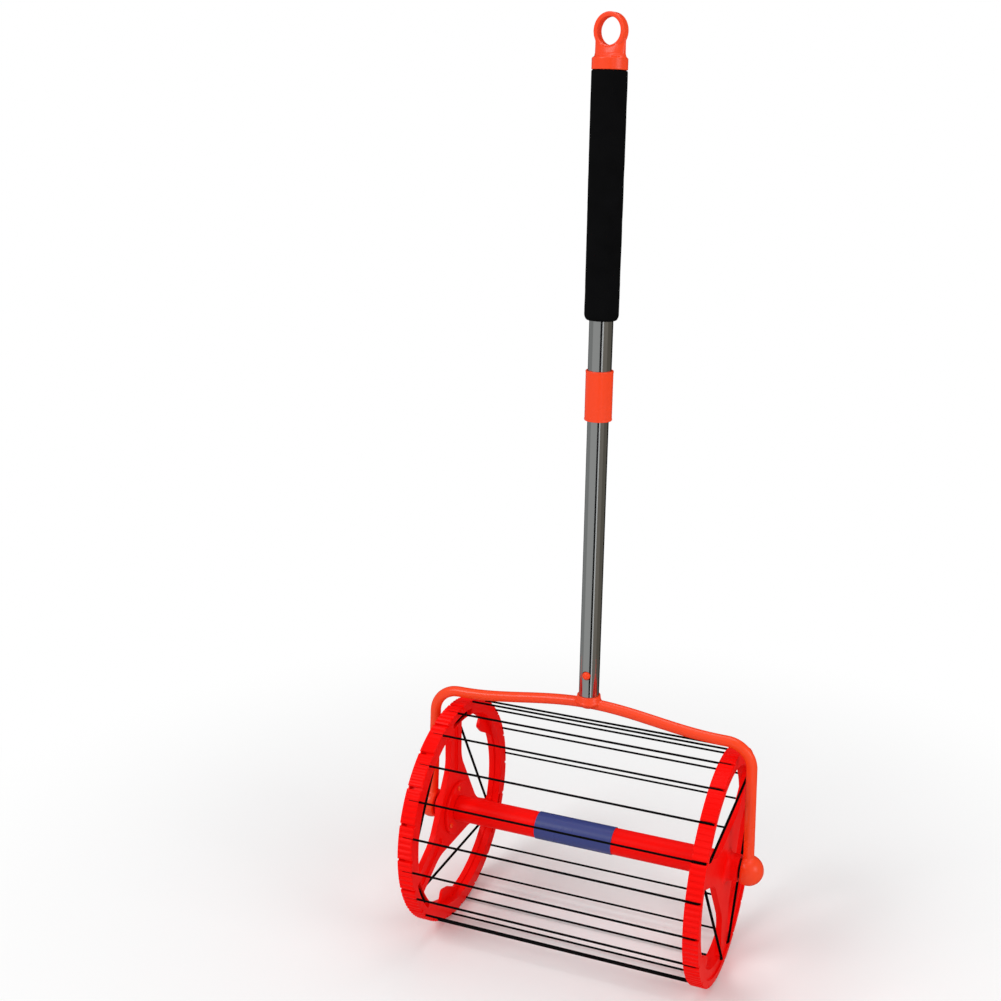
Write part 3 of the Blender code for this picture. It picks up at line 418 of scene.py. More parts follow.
def plate(name, outline, low, high):
    """A flat plate with the given outline."""
    obj = drawn_line(name, [(x, y, low) for x, y in outline])
    bpy.ops.mesh.edge_face_add()
    select_all()
    extrude(0, 0, high - low)
    select_all()
    bpy.ops.mesh.normals_make_consistent(inside=False)
    end_edit()
    return obj


def tube_along(name, points, diameter, sides, cyclic=False):
    """A round bar, wire or cord along a list of points."""
    curve = bpy.data.curves.new(name, "CURVE")
    curve.dimensions = "3D"
    curve.bevel_depth = diameter / 2
    curve.bevel_resolution = sides
    curve.use_fill_caps = not cyclic
    spline = curve.splines.new("POLY")
    spline.points.add(len(points) - 1)
    for point, position in zip(spline.points, points):
        point.co = (*position, 1.0)
    spline.use_cyclic_u = cyclic
    obj = bpy.data.objects.new(name, curve)
    bpy.context.scene.collection.objects.link(obj)
    activate(obj)
    bpy.ops.object.convert(target="MESH")
    obj = bpy.context.object
    start_edit(obj, "VERT")
    clean_and_end(0.000002)
    return obj


def arc(centre, radius, start, end, steps):
    points = []
    for i in range(steps + 1):
        turn = math.radians(start + (end - start) * i / steps)
        points.append((centre[0] + radius * math.cos(turn), centre[1] + radius * math.sin(turn)))
    return points


def polar(radius, angle):
    turn = math.radians(angle)
    return (-radius * math.sin(turn), radius * math.cos(turn))


# Finishes


def fill_in(node, values):
    for socket, value in values.items():
        node.inputs[socket].default_value = value


def add_node(tree, kind, values=None, **settings):
    """A node with its settings and the values of its inputs."""
    node = tree.nodes.new(kind)
    for key, value in settings.items():
        setattr(node, key, value)
    fill_in(node, values or {})
    return node


def link(tree, *routes):
    """Join nodes. A route is a node, its output, the next node and its input."""
    for source, output, target, entry in routes:
        tree.links.new(source.outputs[output], target.inputs[entry])


def new_group(name, inputs, outputs):
    group = bpy.data.node_groups.new(name, "ShaderNodeTree")
    for label, kind, default in inputs:
        socket = group.interface.new_socket(label, in_out="INPUT", socket_type=kind)
        if default is not None:
            socket.default_value = default
    for label, kind in outputs:
        group.interface.new_socket(label, in_out="OUTPUT", socket_type=kind)
    return group, group.nodes.new("NodeGroupInput"), group.nodes.new("NodeGroupOutput")


def moulding_group():
    """Moulded plastic: faint flow marks in the colour, dull patches and a fine skin."""
    group, given, out = new_group("moulded_skin", [
        ("Colour", "NodeSocketColor", None), ("Variation", "NodeSocketFloat", 0.08),
        ("Roughness", "NodeSocketFloat", 0.35), ("Skin", "NodeSocketFloat", 0.1)],
        [("Colour", "NodeSocketColor"), ("Roughness", "NodeSocketFloat"), ("Normal", "NodeSocketVector")])
    place = add_node(group, "ShaderNodeTexCoord")
    flow = add_node(group, "ShaderNodeTexNoise", {"Scale": 22.0, "Detail": 3.0})
    fine = add_node(group, "ShaderNodeTexNoise", {"Scale": 900.0, "Detail": 2.0})
    darker = add_node(group, "ShaderNodeMix", {"B": (0.72, 0.66, 0.66, 1.0)}, data_type="RGBA",
                      blend_type="MULTIPLY")
    amount = add_node(group, "ShaderNodeMath", operation="MULTIPLY")
    dull = add_node(group, "ShaderNodeMapRange", {
        "From Min": 0.3, "From Max": 0.7, "To Min": -0.05, "To Max": 0.07})
    rough = add_node(group, "ShaderNodeMath", operation="ADD")
    bump = add_node(group, "ShaderNodeBump", {"Distance": 0.00006})
    link(group, (place, "Object", flow, "Vector"), (place, "Object", fine, "Vector"),
         (flow, "Fac", amount, 0), (given, "Variation", amount, 1), (amount, 0, darker, "Factor"),
         (given, "Colour", darker, "A"), (darker, "Result", out, "Colour"),
         (flow, "Fac", dull, "Value"), (dull, "Result", rough, 0), (given, "Roughness", rough, 1),
         (rough, 0, out, "Roughness"), (fine, "Fac", bump, "Height"),
         (given, "Skin", bump, "Strength"), (bump, "Normal", out, "Normal"))


def brushing_group():
    """Drawn or plated metal: fine lines along one axis and faint smudges."""
    group, given, out = new_group("drawn_metal", [
        ("Stretch", "NodeSocketVector", (400.0, 400.0, 4.0)), ("Roughness", "NodeSocketFloat", 0.12),
        ("Lines", "NodeSocketFloat", 0.1), ("Smudges", "NodeSocketFloat", 0.08)],
        [("Roughness", "NodeSocketFloat"), ("Normal", "NodeSocketVector")])
    place = add_node(group, "ShaderNodeTexCoord")
    stretch = add_node(group, "ShaderNodeVectorMath", operation="MULTIPLY")
    lines = add_node(group, "ShaderNodeTexNoise", {"Scale": 3.0, "Detail": 4.0})
    smudge = add_node(group, "ShaderNodeTexNoise", {"Scale": 30.0, "Detail": 4.0})
    spread = add_node(group, "ShaderNodeMath", operation="MULTIPLY_ADD")
    bump = add_node(group, "ShaderNodeBump", {"Distance": 0.00003})
    link(group, (place, "Object", stretch, 0), (given, "Stretch", stretch, 1),
         (stretch, "Vector", lines, "Vector"), (place, "Object", smudge, "Vector"),
         (smudge, "Fac", spread, 0), (given, "Smudges", spread, 1), (given, "Roughness", spread, 2),
         (spread, 0, out, "Roughness"), (lines, "Fac", bump, "Height"),
         (given, "Lines", bump, "Strength"), (bump, "Normal", out, "Normal"))


def new_material(name):
    material = bpy.data.materials.new(name)
    material.use_nodes = True
    return material, material.node_tree, material.node_tree.nodes["Principled BSDF"]


def moulded_plastic(name, colour, roughness, variation=0.12, skin=0.12, coat=0.0, shine=0.2):
    material, tree, shader = new_material(name)
    fill_in(shader, {"Specular IOR Level": shine, "Coat Weight": coat, "Coat Roughness": 0.12})
    moulded = add_node(tree, "ShaderNodeGroup", {
        "Colour": (*colour, 1.0), "Variation": variation, "Roughness": roughness, "Skin": skin},
        node_tree=bpy.data.node_groups["moulded_skin"])
    link(tree, (moulded, "Colour", shader, "Base Color"),
         (moulded, "Roughness", shader, "Roughness"), (moulded, "Normal", shader, "Normal"))
    return material


def drawn_metal(name, colour, roughness, stretch, lines, smudges):
    material, tree, shader = new_material(name)
    fill_in(shader, {"Base Color": (*colour, 1.0), "Metallic": 1.0})
    drawn = add_node(tree, "ShaderNodeGroup", {
        "Stretch": stretch, "Roughness": roughness, "Lines": lines, "Smudges": smudges},
        node_tree=bpy.data.node_groups["drawn_metal"])
    link(tree, (drawn, "Roughness", shader, "Roughness"), (drawn, "Normal", shader, "Normal"))
    return material


def foam_rubber(name, colour):
    """Closed-cell foam: pores under a soft skin, paler where hands have rubbed it."""
    material, tree, shader = new_material(name)
    fill_in(shader, {"Specular IOR Level": 0.03})
    place = add_node(tree, "ShaderNodeTexCoord")
    pores = add_node(tree, "ShaderNodeTexVoronoi", {"Scale": 1500.0})
    uneven = add_node(tree, "ShaderNodeTexNoise", {"Scale": 60.0, "Detail": 5.0})
    rubbed = (colour[0] * 2.6, colour[1] * 2.6, colour[2] * 2.7, 1.0)
    mixed = add_node(tree, "ShaderNodeMix", {"A": (*colour, 1.0), "B": rubbed}, data_type="RGBA")
    rough = add_node(tree, "ShaderNodeMapRange", {"To Min": 0.72, "To Max": 0.92})
    bump = add_node(tree, "ShaderNodeBump", {"Strength": 0.35, "Distance": 0.00015})
    link(tree, (place, "Object", pores, "Vector"), (place, "Object", uneven, "Vector"),
         (uneven, "Fac", mixed, "Factor"), (mixed, "Result", shader, "Base Color"),
         (uneven, "Fac", rough, "Value"), (rough, "Result", shader, "Roughness"),
         (pores, "Distance", bump, "Height"), (bump, "Normal", shader, "Normal"))
    return material


def make_finishes(colours):
    moulding_group()
    brushing_group()
    along_pole = (500.0, 500.0, 3.0)
    along_axle = (3.0, 500.0, 500.0)
    black = (0.0018, 0.0018, 0.0018)
    return {
        "wheel": moulded_plastic("wheel_red", colours.wheel, 0.34, 0.16, shine=0.06),
        "screw": moulded_plastic("red_lacquer", colours.yoke, 0.22, 0.1, 0.05, shine=0.4),
        "yoke": moulded_plastic("yoke_orange_red", colours.yoke, 0.24, 0.14, shine=0.35),
        "nylon": moulded_plastic("black_nylon", (0.006, 0.006, 0.0065), 0.45, 0.2, 0.2),
        "wire": moulded_plastic("black_wire_coat", black, 0.34, 0.3, 0.3, shine=0.03),
        "cord": moulded_plastic("black_elastic", black, 0.62, 0.3, 0.8, shine=0.03),
        "label": moulded_plastic("label_film", colours.label, 0.28, 0.15, 0.05, 0.2),
        "foam": foam_rubber("black_foam_rubber", colours.foam),
        "tube": drawn_metal("plated_tube", colours.tube, 0.07, along_pole, 0.04, 0.08),
        "steel": drawn_metal("zinc_steel", (0.55, 0.55, 0.54), 0.25, along_axle, 0.2, 0.15),
        "spring": drawn_metal("blued_spring", (0.3, 0.31, 0.34), 0.3, along_pole, 0.2, 0.15),
    }


FINISHES = {}


def paint(obj, finish):
    obj.data.materials.clear()
    obj.data.materials.append(FINISHES[finish])


def dress(obj, finish, body, node):
    """Give a piece its finish and its body, and hide what it replaces."""
    paint(obj, finish)
    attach(obj, body)
    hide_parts(node)


# The drum's pieces


def sector(name, inner, outer, half_angle, low, high):
    """A stretch of ring at the wheel's top, half_angle degrees to each side."""
    obj = add_cylinder(name, outer, low, high, RIM_SIDES)
    start_edit(obj)
    for side in (-1, 1):
        turn = math.radians(90 + side * half_angle)
        slice_off((0, 0, 0), (-side * math.sin(turn), side * math.cos(turn), 0))
    end_edit()
    return boolean(obj, add_cylinder(name + "_bore", inner, low - CUT_PAST, high + CUT_PAST, RIM_SIDES))


def window_tool():
    """The wheel window's shape at the wheel's top, with its corners rounded."""
    obj = add_cylinder("window", WINDOW_RADIUS, WEB_INNER_FACE - 0.008, WEB_OUTER_FACE + 0.004, RIM_SIDES)
    start_edit(obj)
    half = math.pi / WINDOW_COUNT
    for side in (-1, 1):
        outward = Vector((side * math.cos(half), -math.sin(half), 0))
        slice_off(-outward * SPOKE_WIDTH / 2, outward)
    slice_off((0, WINDOW_FLAT, 0), (0, -1, 0))
    bpy.ops.mesh.select_mode(type="EDGE")
    shape = bmesh.from_edit_mesh(obj.data)
    for edge in shape.edges:
        a, b = edge.verts
        upright = (a.co.xy - b.co.xy).length < NEAR
        sharp = upright and len(edge.link_faces) == 2 and edge.calc_face_angle(0) > math.radians(15)
        edge.select_set(sharp)
    bmesh.update_edit_mesh(obj.data)
    bevel_edges(WINDOW_ROUND, 8)
    end_edit()
    return obj


def wheel_blank(sizes):
    """The turned body of a wheel: rim, web and hub boss, drawn out of one cylinder."""
    sides = SLOT_COUNT * SLOT_STEPS
    wheel = add_cylinder("wheel", BAND_RADIUS, RIM_INNER_FACE, RIM_OUTER_FACE, sides)
    start_edit(wheel)
    pick_faces(wheel, lambda centre, normal: normal.z > 0.9)
    bpy.ops.mesh.inset(thickness=BAND_RADIUS - LIP_RADIUS)
    extrude(0, 0, WEB_OUTER_FACE - RIM_OUTER_FACE)
    bpy.ops.mesh.inset(thickness=LIP_RADIUS - HUB_RADIUS)
    extrude(0, 0, HUB_END - WEB_OUTER_FACE)
    pick_faces(wheel, lambda centre, normal: normal.z < -0.9)
    bpy.ops.mesh.inset(thickness=BAND_RADIUS - RIM_BORE_RADIUS)
    extrude(0, 0, WEB_INNER_FACE - RIM_INNER_FACE)
    bpy.ops.mesh.select_mode(type="EDGE")
    foot = lambda point: abs(point.z - WEB_OUTER_FACE) < NEAR and abs(point.xy.length - HUB_RADIUS) < 1e-4
    pick_edges(wheel, lambda a, b: foot(a) and foot(b))
    bevel_edges(HUB_FILLET, 8)
    end_edit()
    rib_tread(wheel, sizes)
    return wheel


def rib_tread(wheel, sizes):
    """Raise six soft ribs from slot to slot, nearly as long as the tread is wide."""
    on_band = lambda point: point.xy.length > BAND_RADIUS - 0.001
    start_edit(wheel)
    for height in RIB_ENDS:
        pick_faces(wheel, lambda centre, normal: abs(normal.z) < 0.1 and on_band(centre))
        bpy.ops.mesh.bisect(plane_co=(0, 0, height), plane_no=(0, 0, 1))
    bpy.ops.mesh.select_mode(type="VERT")
    bpy.ops.mesh.select_all(action="DESELECT")
    shape = bmesh.from_edit_mesh(wheel.data)
    for vert in shape.verts:
        turn = math.degrees(math.atan2(-vert.co.x, vert.co.y))
        step = round(turn * SLOT_COUNT * SLOT_STEPS / 360) % SLOT_STEPS
        end = min(abs(vert.co.z - height) for height in RIB_ENDS) < NEAR
        vert.select_set(end and on_band(vert.co) and step % 4 in (2, 3))
    shape.select_flush_mode()
    bmesh.update_edit_mesh(wheel.data)
    scale = (BAND_RADIUS + sizes.ribs) / BAND_RADIUS
    widen(scale, scale)
    end_edit()


def tab(side):
    """A tab on the top window's rim side: a round nose at one end and a long ramp."""
    nose = polar(TAB_NOSE_RADIUS, side * TAB_HALF_ANGLE)
    ramp_start = TAB_HALF_ANGLE - TAB_FLAT
    outline = [polar(TAB_ROOT_RADIUS, side * TAB_HALF_ANGLE), nose,
               polar(TAB_NOSE_RADIUS, side * ramp_start)]
    for i in range(1, TAB_STEPS + 1):
        share = i / TAB_STEPS
        rise = (TAB_END_RADIUS - TAB_NOSE_RADIUS) * share * share * (3 - 2 * share)
        outline.append(polar(TAB_NOSE_RADIUS + rise, side * (ramp_start - TAB_RAMP * share)))
    outline.append(polar(TAB_ROOT_RADIUS, side * (ramp_start - TAB_RAMP)))
    obj = plate("tab", outline, WEB_INNER_FACE + FIT, TAB_TOP)
    start_edit(obj, "EDGE")
    nose = Vector(nose)
    pick_edges(obj, lambda a, b: (a.xy - nose).length < 1e-4 and (b.xy - nose).length < 1e-4)
    bevel_edges(TAB_NOSE_ROUND, 8)
    end_edit()
    return obj


def tab_tools():
    """One tab for each window: two with the nose after the ramp and one before it."""
    return joined("tabs", [placed(tab(side), rotation(window)) for window, side in TAB_SIDES])


def spoke_channel():
    """A shallow round-ended channel along the inner side of a spoke."""
    floor = WEB_INNER_FACE + CHANNEL_DEPTH
    channel = add_box("channel", (-CHANNEL_HALF_WIDTH, CHANNEL_ENDS[0], WEB_INNER_FACE - CUT_PAST),
                      (CHANNEL_HALF_WIDTH, CHANNEL_ENDS[1], floor))
    start_edit(channel, "EDGE")
    pick_edges(channel, lambda a, b: abs(a.z - b.z) > 0.001)
    bevel_edges(0.004, 8)
    pick_edges(channel, lambda a, b: min(a.z, b.z) > floor - 0.0002)
    bevel_edges(0.0012, 3)
    end_edit()
    return channel


def model_wheel(sizes):
    wheel = wheel_blank(sizes)
    boolean(wheel, ring_of(window_tool(), WINDOW_COUNT))
    boolean(wheel, tab_tools(), "UNION")
    boolean(wheel, ring_of(spoke_channel(), WINDOW_COUNT, FIRST_SPOKE))
    slot = add_box("slot", (-SLOT_WIDTH / 2, SLOT_FLOOR, RIM_INNER_FACE - CUT_PAST),
                   (SLOT_WIDTH / 2, WHEEL_RADIUS + CUT_PAST, RIM_OUTER_FACE + CUT_PAST))
    boolean(wheel, ring_of(slot, SLOT_COUNT))
    hook_hole = add_box(
        "hook_hole", (-HOOK_HOLE_HALF_WIDTH, HOOK_FOOT - FIT, HOOK_X - WIRE_BEND - HOOK_HOLE_REACH),
        (HOOK_HOLE_HALF_WIDTH, SLOT_FLOOR + 0.0005, HOOK_X + HOOK_HOLE_REACH))
    boolean(wheel, ring_of(hook_hole, SLOT_COUNT))
    pocket = sector("pocket", CORD_RADIUS - POCKET_HALF_WIDTH, CORD_RADIUS + POCKET_HALF_WIDTH,
                    POCKET_HALF_ANGLE, RIM_INNER_FACE - CUT_PAST, POCKET_FLOOR)
    boolean(wheel, ring_of(pocket, WINDOW_COUNT, FIRST_SPOKE))
    holes = []
    for offset in (-CORD_OFFSET, CORD_OFFSET):
        hole = add_cylinder("cord_hole", CORD_HOLE_RADIUS, POCKET_FLOOR - CUT_PAST,
                            WEB_OUTER_FACE + CUT_PAST, 20)
        holes.append(placed(hole, Matrix.Translation((*polar(CORD_RADIUS, offset), 0))))
    boolean(wheel, ring_of(joined("cord_holes", holes), WINDOW_COUNT, FIRST_SPOKE))
    boolean(wheel, add_cylinder("bore", HUB_BORE, WEB_INNER_FACE - CUT_PAST, HUB_END + CUT_PAST, 64))
    return shade(round_edges(wheel, sizes.edge))


def model_wire(sizes):
    """A cage wire at the drum's top, with an end hooked into each rim."""
    half = [(HOOK_X, HOOK_FOOT)]
    half += arc((HOOK_X - WIRE_BEND, WIRE_RADIUS - WIRE_BEND), WIRE_BEND, 0, 90, 6)
    left = [(-x, 0.0, z) for x, z in half]
    right = [(x, 0.0, z) for x, z in reversed(half)]
    return shade(tube_along("wire", left + right, sizes.wire, 3), 40, False)


def cord_points(sizes):
    """The cord's loop: over each window outside, through a hole, behind each spoke."""
    outside = WEB_OUTER_FACE + FIT + sizes.cord / 2
    inside = POCKET_FLOOR - CORD_LIFT - sizes.cord / 2
    at = lambda angle: Vector((*polar(CORD_RADIUS, angle), 0))
    points = []
    for spoke in SPOKES:
        before, middle, after = at(spoke - CORD_OFFSET), at(spoke), at(spoke + CORD_OFFSET)
        points += cord_bend(before, at(spoke - 120 + CORD_OFFSET) - before, outside, -1, False)
        points += cord_bend(before, middle - before, inside, 1, True)
        points.append(middle + Vector((0, 0, inside)))
        points += cord_bend(after, middle - after, inside, 1, False)
        points += cord_bend(after, at(spoke + 120 - CORD_OFFSET) - after, outside, -1, True)
    return points


def cord_bend(hole, along, height, into, leaving):
    """The cord's round bend between a run on one face and its hole."""
    direction = along.normalized()
    centre = hole + direction * CORD_BEND + Vector((0, 0, height + into * CORD_BEND))
    points = []
    for step in range(7):
        turn = math.radians(15 * step)
        points.append(centre - direction * CORD_BEND * math.sin(turn)
                      - Vector((0, 0, into * CORD_BEND * math.cos(turn))))
    return points[::-1] if leaving else points


def model_flange():
    """A flange against the web, with the plug that holds the centre tube's end."""
    back = WEB_INNER_FACE - FIT
    flange = turned("flange", [
        (FLANGE_RADIUS, back), (FLANGE_RADIUS, WEB_INNER_FACE - 0.0025),
        (FLANGE_RADIUS - 0.0008, FLANGE_FACE), (PLUG_RADIUS, FLANGE_FACE), (PLUG_RADIUS, PLUG_END),
        (HUB_BORE, PLUG_END), (HUB_BORE, back)])
    hole = add_cylinder("hole", 0.0016, WEB_INNER_FACE - 0.005, WEB_INNER_FACE + CUT_PAST, 16)
    boolean(flange, ring_of(placed(hole, ON_SCREW_CIRCLE), WINDOW_COUNT, FIRST_SPOKE))
    return shade(round_edges(flange, 0.0003))


def model_screw():
    """A round-headed screw with a cross recess, at the top of the screw circle."""
    under_head = WEB_INNER_FACE - 0.0036
    screw = turned("screw", [
        (0, under_head + 0.0078), (0.0013, under_head + 0.0068), (0.0013, under_head),
        (0.0028, under_head), (0.00275, under_head - 0.0006), (0.0022, under_head - 0.0012),
        (0.0012, under_head - 0.00155), (0, under_head - 0.0016)], 24, False)
    for x, y in ((0.0016, 0.0003), (0.0003, 0.0016)):
        boolean(screw, add_box("recess", (-x, -y, under_head - 0.002), (x, y, under_head - 0.0007)))
    return shade(placed(screw, ON_SCREW_CIRCLE), 35, False)


def model_bush():
    face = HUB_END + FIT
    bush = turned("bush", [
        (0.0095, face + 0.0017), (0.0095, face), (BUSH_RADIUS, face), (BUSH_RADIUS, FLANGE_FACE),
        (BUSH_BORE, FLANGE_FACE), (BUSH_BORE, face + 0.0017)], 64)
    return shade(round_edges(bush, 0.0002))


def model_centre_tube():
    low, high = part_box("centre_tube")
    tube = sleeve("centre_tube_moulding", CENTRE_TUBE_RADIUS, CENTRE_TUBE_BORE, low.x, high.x)
    return shade(round_edges(placed(tube, ON_AXLE), 0.0003))


def model_label():
    """The printed film round the centre tube, with its lapped seam, left bare."""
    low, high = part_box("label_band")
    label = sleeve("label_film", LABEL_RADIUS, LABEL_BORE, low.x, high.x, LABEL_STEPS)
    lap = sector("lap", LABEL_RADIUS - 0.0001, LABEL_RADIUS + 0.0001, 14, low.x, high.x)
    boolean(label, placed(lap, rotation(LABEL_SEAM)), "UNION")
    return shade(placed(label, ON_AXLE), 35, False)


# The yoke and the pole's pieces


def yoke_points():
    """The bar's centre line, from one knob over the crossbar to the other."""
    corner = (KNOB_CENTRE - ARM_LEAN - BAR_CORNER, CROSSBAR_Z - BAR_CORNER)
    start_z = AXLE.z + ARM_FOOT
    lean = ARM_LEAN * (start_z - AXLE.z) / (corner[1] - AXLE.z)
    side = [(KNOB_CENTRE - lean, start_z)]
    side += arc(corner, BAR_CORNER, 0, 90, 14)
    steps = 24
    for i in range(1, steps + 1):
        x = corner[0] * (1 - i / steps)
        rise = 0.0
        if x < BAR_RISE_END:
            rise = (PEAK_Z - CROSSBAR_Z) * (1 + math.cos(math.pi * x / BAR_RISE_END)) / 2
        side.append((x, CROSSBAR_Z + rise))
    right = [(x, 0.0, z) for x, z in side]
    left = [(-x, 0.0, z) for x, z in reversed(side[:-1])]
    return right + left


def model_yoke():
    """The yoke as one moulding: bar, shoulder, spigot and knobs melted together."""
    bar = tube_along("bar", yoke_points(), BAR_DIAMETER, 6)
    tube_seat = TUBE_BOTTOM - FIT
    boss = turned("boss", [
        (0, TUBE_BOTTOM + 0.003), (SPIGOT_BORE, TUBE_BOTTOM + 0.003), (SPIGOT_BORE, SPIGOT_TOP),
        (SPIGOT_RADIUS, SPIGOT_TOP), (SPIGOT_RADIUS, tube_seat), (0.0108, tube_seat),
        (0.0119, PEAK_Z + 0.005), (0.0134, PEAK_Z + 0.0028), (0.0112, PEAK_Z), (0.0070, PEAK_Z - 0.0035),
        (0, PEAK_Z - 0.0035)], closed=False)
    boolean(bar, boss, "UNION")
    for side in (1, -1):
        knob = add_shape("knob", bpy.ops.mesh.primitive_uv_sphere_add, segments=64, ring_count=32,
                         radius=KNOB_RADIUS, location=(side * KNOB_CENTRE, 0, AXLE.z))
        start_edit(knob)
        slice_off((side * KNOB_FACE, 0, 0), (-side, 0, 0))
        end_edit()
        boolean(bar, knob, "UNION")
    melt(bar, voxel=0.0008, passes=12)
    socket = turned("socket", [
        (0.0102, TUBE_BOTTOM + 0.003), (0.0111, TUBE_BOTTOM + 0.003), (0.0116, TUBE_BOTTOM + 0.0025),
        (0.0122, TUBE_BOTTOM - 0.0025), (0.0105, TUBE_BOTTOM - 0.006), (0.0102, TUBE_BOTTOM - 0.0015)])
    boolean(bar, socket, "UNION")
    for angle in (0, 180):
        bore = add_cylinder("bore", BUSH_BORE, KNOB_FACE - 0.002, KNOB_BORE_END, 32)
        boolean(bar, placed(bore, Matrix.Translation((0, 0, AXLE.z)) @ rotation(angle) @ ALONG_X))
    boolean(bar, button_hole(BUTTON_SPIGOT_HOLE))
    start_edit(bar, "VERT")
    select_all()
    bpy.ops.mesh.remove_doubles(threshold=0.000005)
    bpy.ops.mesh.fill_holes(sides=6)
    end_edit()
    bar.name = "yoke_moulding"
    return shade(bar, 50, False)


def button_hole(radius):
    return placed(add_cylinder("hole", radius, 0.0, 0.013, 40), across_pole(BUTTON_Z))


def model_tube(name, node, radius, bore, hole=None):
    low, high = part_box(node)
    tube = sleeve(name, radius, bore, low.z, high.z)
    if hole:
        boolean(tube, hole)
    return shade(round_edges(tube, 0.0002))


def model_grip():
    """The foam sleeve, a little uneven along its length, with soft ends."""
    low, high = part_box("foam_grip")
    radius = high.x
    within = GRIP_BORE + 0.001
    grip = turned("grip_foam", [
        (radius - 0.0012, high.z), (radius - 0.0003, high.z - 0.0004), (radius, high.z - 0.0014),
        (radius, low.z + 0.0045), (radius - 0.0004, low.z + 0.0026), (radius - 0.0014, low.z + 0.0006),
        (radius - 0.0022, low.z), (GRIP_BORE, low.z), (GRIP_BORE, high.z)])
    start_edit(grip, "EDGE")
    pick_edges(grip, lambda a, b: abs(a.z - b.z) > 0.1 and a.xy.length > within)
    bpy.ops.mesh.subdivide(number_cuts=60)
    end_edit()
    texture = bpy.data.textures.new("foam_swell", "CLOUDS")
    texture.noise_scale = 0.02
    outer = grip.vertex_groups.new(name="outer")
    outer.add([v.index for v in grip.data.vertices if v.co.xy.length > within], 1.0, "REPLACE")
    add_modifier(grip, "DISPLACE", texture=texture, strength=-0.0005, mid_level=0.75,
                 texture_coords="LOCAL", vertex_group=outer.name)
    return shade(grip, 50, False)


def model_collar():
    low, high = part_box("lock_collar")
    radius = high.x
    middle = radius - 0.00025
    collar = turned("collar_moulding", [
        (0.0122, high.z), (0.0126, high.z), (radius, high.z - 0.0006), (radius, high.z - 0.0016),
        (middle, high.z - 0.0022), (middle, low.z + 0.0022), (radius, low.z + 0.0016),
        (radius, low.z + 0.0006), (0.0126, low.z), (0.0103, low.z), (0.0103, low.z + 0.0034),
        (0.0113, low.z + 0.0034), (0.0113, high.z)])
    return shade(round_edges(collar, 0.00025, 25))


def model_neck():
    """The cap's neck, drawn up through its sections and hollowed under the loop."""
    neck = add_cylinder("neck", 1.0, CAP_TOP - 0.003, CAP_TOP - 0.001, 64)
    start_edit(neck)
    select_all()
    widen(*NECK_SECTIONS[0][:2])
    pick_faces(neck, lambda centre, normal: normal.z > 0.9)
    for last, following in zip(NECK_SECTIONS, NECK_SECTIONS[1:]):
        extrude(0, 0, following[2] - last[2])
        widen(following[0] / last[0], following[1] / last[1])
    end_edit()
    hole = add_cylinder("hole", LOOP_HOLE_RADIUS, -0.02, 0.02, ROUND_STEPS)
    return boolean(neck, placed(hole, across_pole(LOOP_CENTRE)))


def model_cap():
    """The end cap: plug, flange, waisted neck and loop, melted into one moulding."""
    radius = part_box("hanging_cap")[1].y
    plug_end = CAP_BOTTOM - 0.018
    cap = turned("cap_moulding", [
        (0, CAP_TOP), (radius - 0.0008, CAP_TOP), (radius, CAP_TOP - 0.0008), (radius, CAP_BOTTOM),
        (CAP_PLUG_RADIUS, CAP_BOTTOM), (CAP_PLUG_RADIUS, plug_end + 0.001),
        (CAP_PLUG_RADIUS - 0.001, plug_end), (0, plug_end)], closed=False)
    boolean(cap, model_neck(), "UNION")
    loop = turned("loop", [
        (0.0149, 0.0040), (LOOP_RADIUS, 0.0036), (LOOP_RADIUS, -0.0036), (0.0149, -0.0040),
        (0.0118, -0.0040), (0.01135, -0.0036), (0.01135, 0.0036), (0.0118, 0.0040)], 128)
    boolean(cap, placed(loop, across_pole(LOOP_CENTRE)), "UNION")
    melt(placed(cap, rotation(CAP_TURN)), voxel=0.0004, passes=3)
    return shade(cap, 50, False)


def model_button():
    dome = [(0, BUTTON_TIP)]
    for i in range(1, 9):
        turn = math.radians(90 * i / 8)
        dome.append((BUTTON_RADIUS * math.sin(turn), BUTTON_TIP - BUTTON_DOME * (1 - math.cos(turn))))
    foot = BUTTON_FLANGE - 0.001
    button = turned("button_dome", dome + [
        (BUTTON_RADIUS, BUTTON_FLANGE), (BUTTON_FLANGE_RADIUS, BUTTON_FLANGE),
        (BUTTON_FLANGE_RADIUS, foot), (0, foot)], 48, False)
    return shade(placed(button, across_pole(BUTTON_Z)), 35, False)


# Operators


class HOPPER_OT_finishes(bpy.types.Operator):
    """Make the finishes that the pieces share."""
    bl_idname = "hopper.finishes"
    bl_label = "Finishes"

    def execute(self, context):
        FINISHES.update(make_finishes(context.scene.hopper_colours))
        return {"FINISHED"}


class HOPPER_OT_wheels(bpy.types.Operator):
    """Model the two moulded wheels."""
    bl_idname = "hopper.wheels"
    bl_label = "Wheels"

    def execute(self, context):
        wheel = model_wheel(context.scene.hopper_sizes)
        for side, place in SIDES:
            index = rotation(LEFT_INDEX) if side == "left" else Matrix()
            twin = copy_of(wheel, f"moulded_wheel_{side}", place @ index)
            dress(twin, "wheel", "drum", f"wheel_{side}")
        discard(wheel)
        return {"FINISHED"}


class HOPPER_OT_wires(bpy.types.Operator):
    """Model the sprung wires of the cage."""
    bl_idname = "hopper.wires"
    bl_label = "Cage wires"

    def execute(self, context):
        wire = model_wire(context.scene.hopper_sizes)
        for i in range(SLOT_COUNT):
            turn = rotation(DRUM_PHASE + 360 * i / SLOT_COUNT, "X")
            twin = copy_of(wire, f"sprung_wire_{i + 1:02d}", Matrix.Translation(AXLE) @ turn)
            dress(twin, "wire", "drum", f"cage_wire_{i + 1:02d}")
        discard(wire)
        return {"FINISHED"}


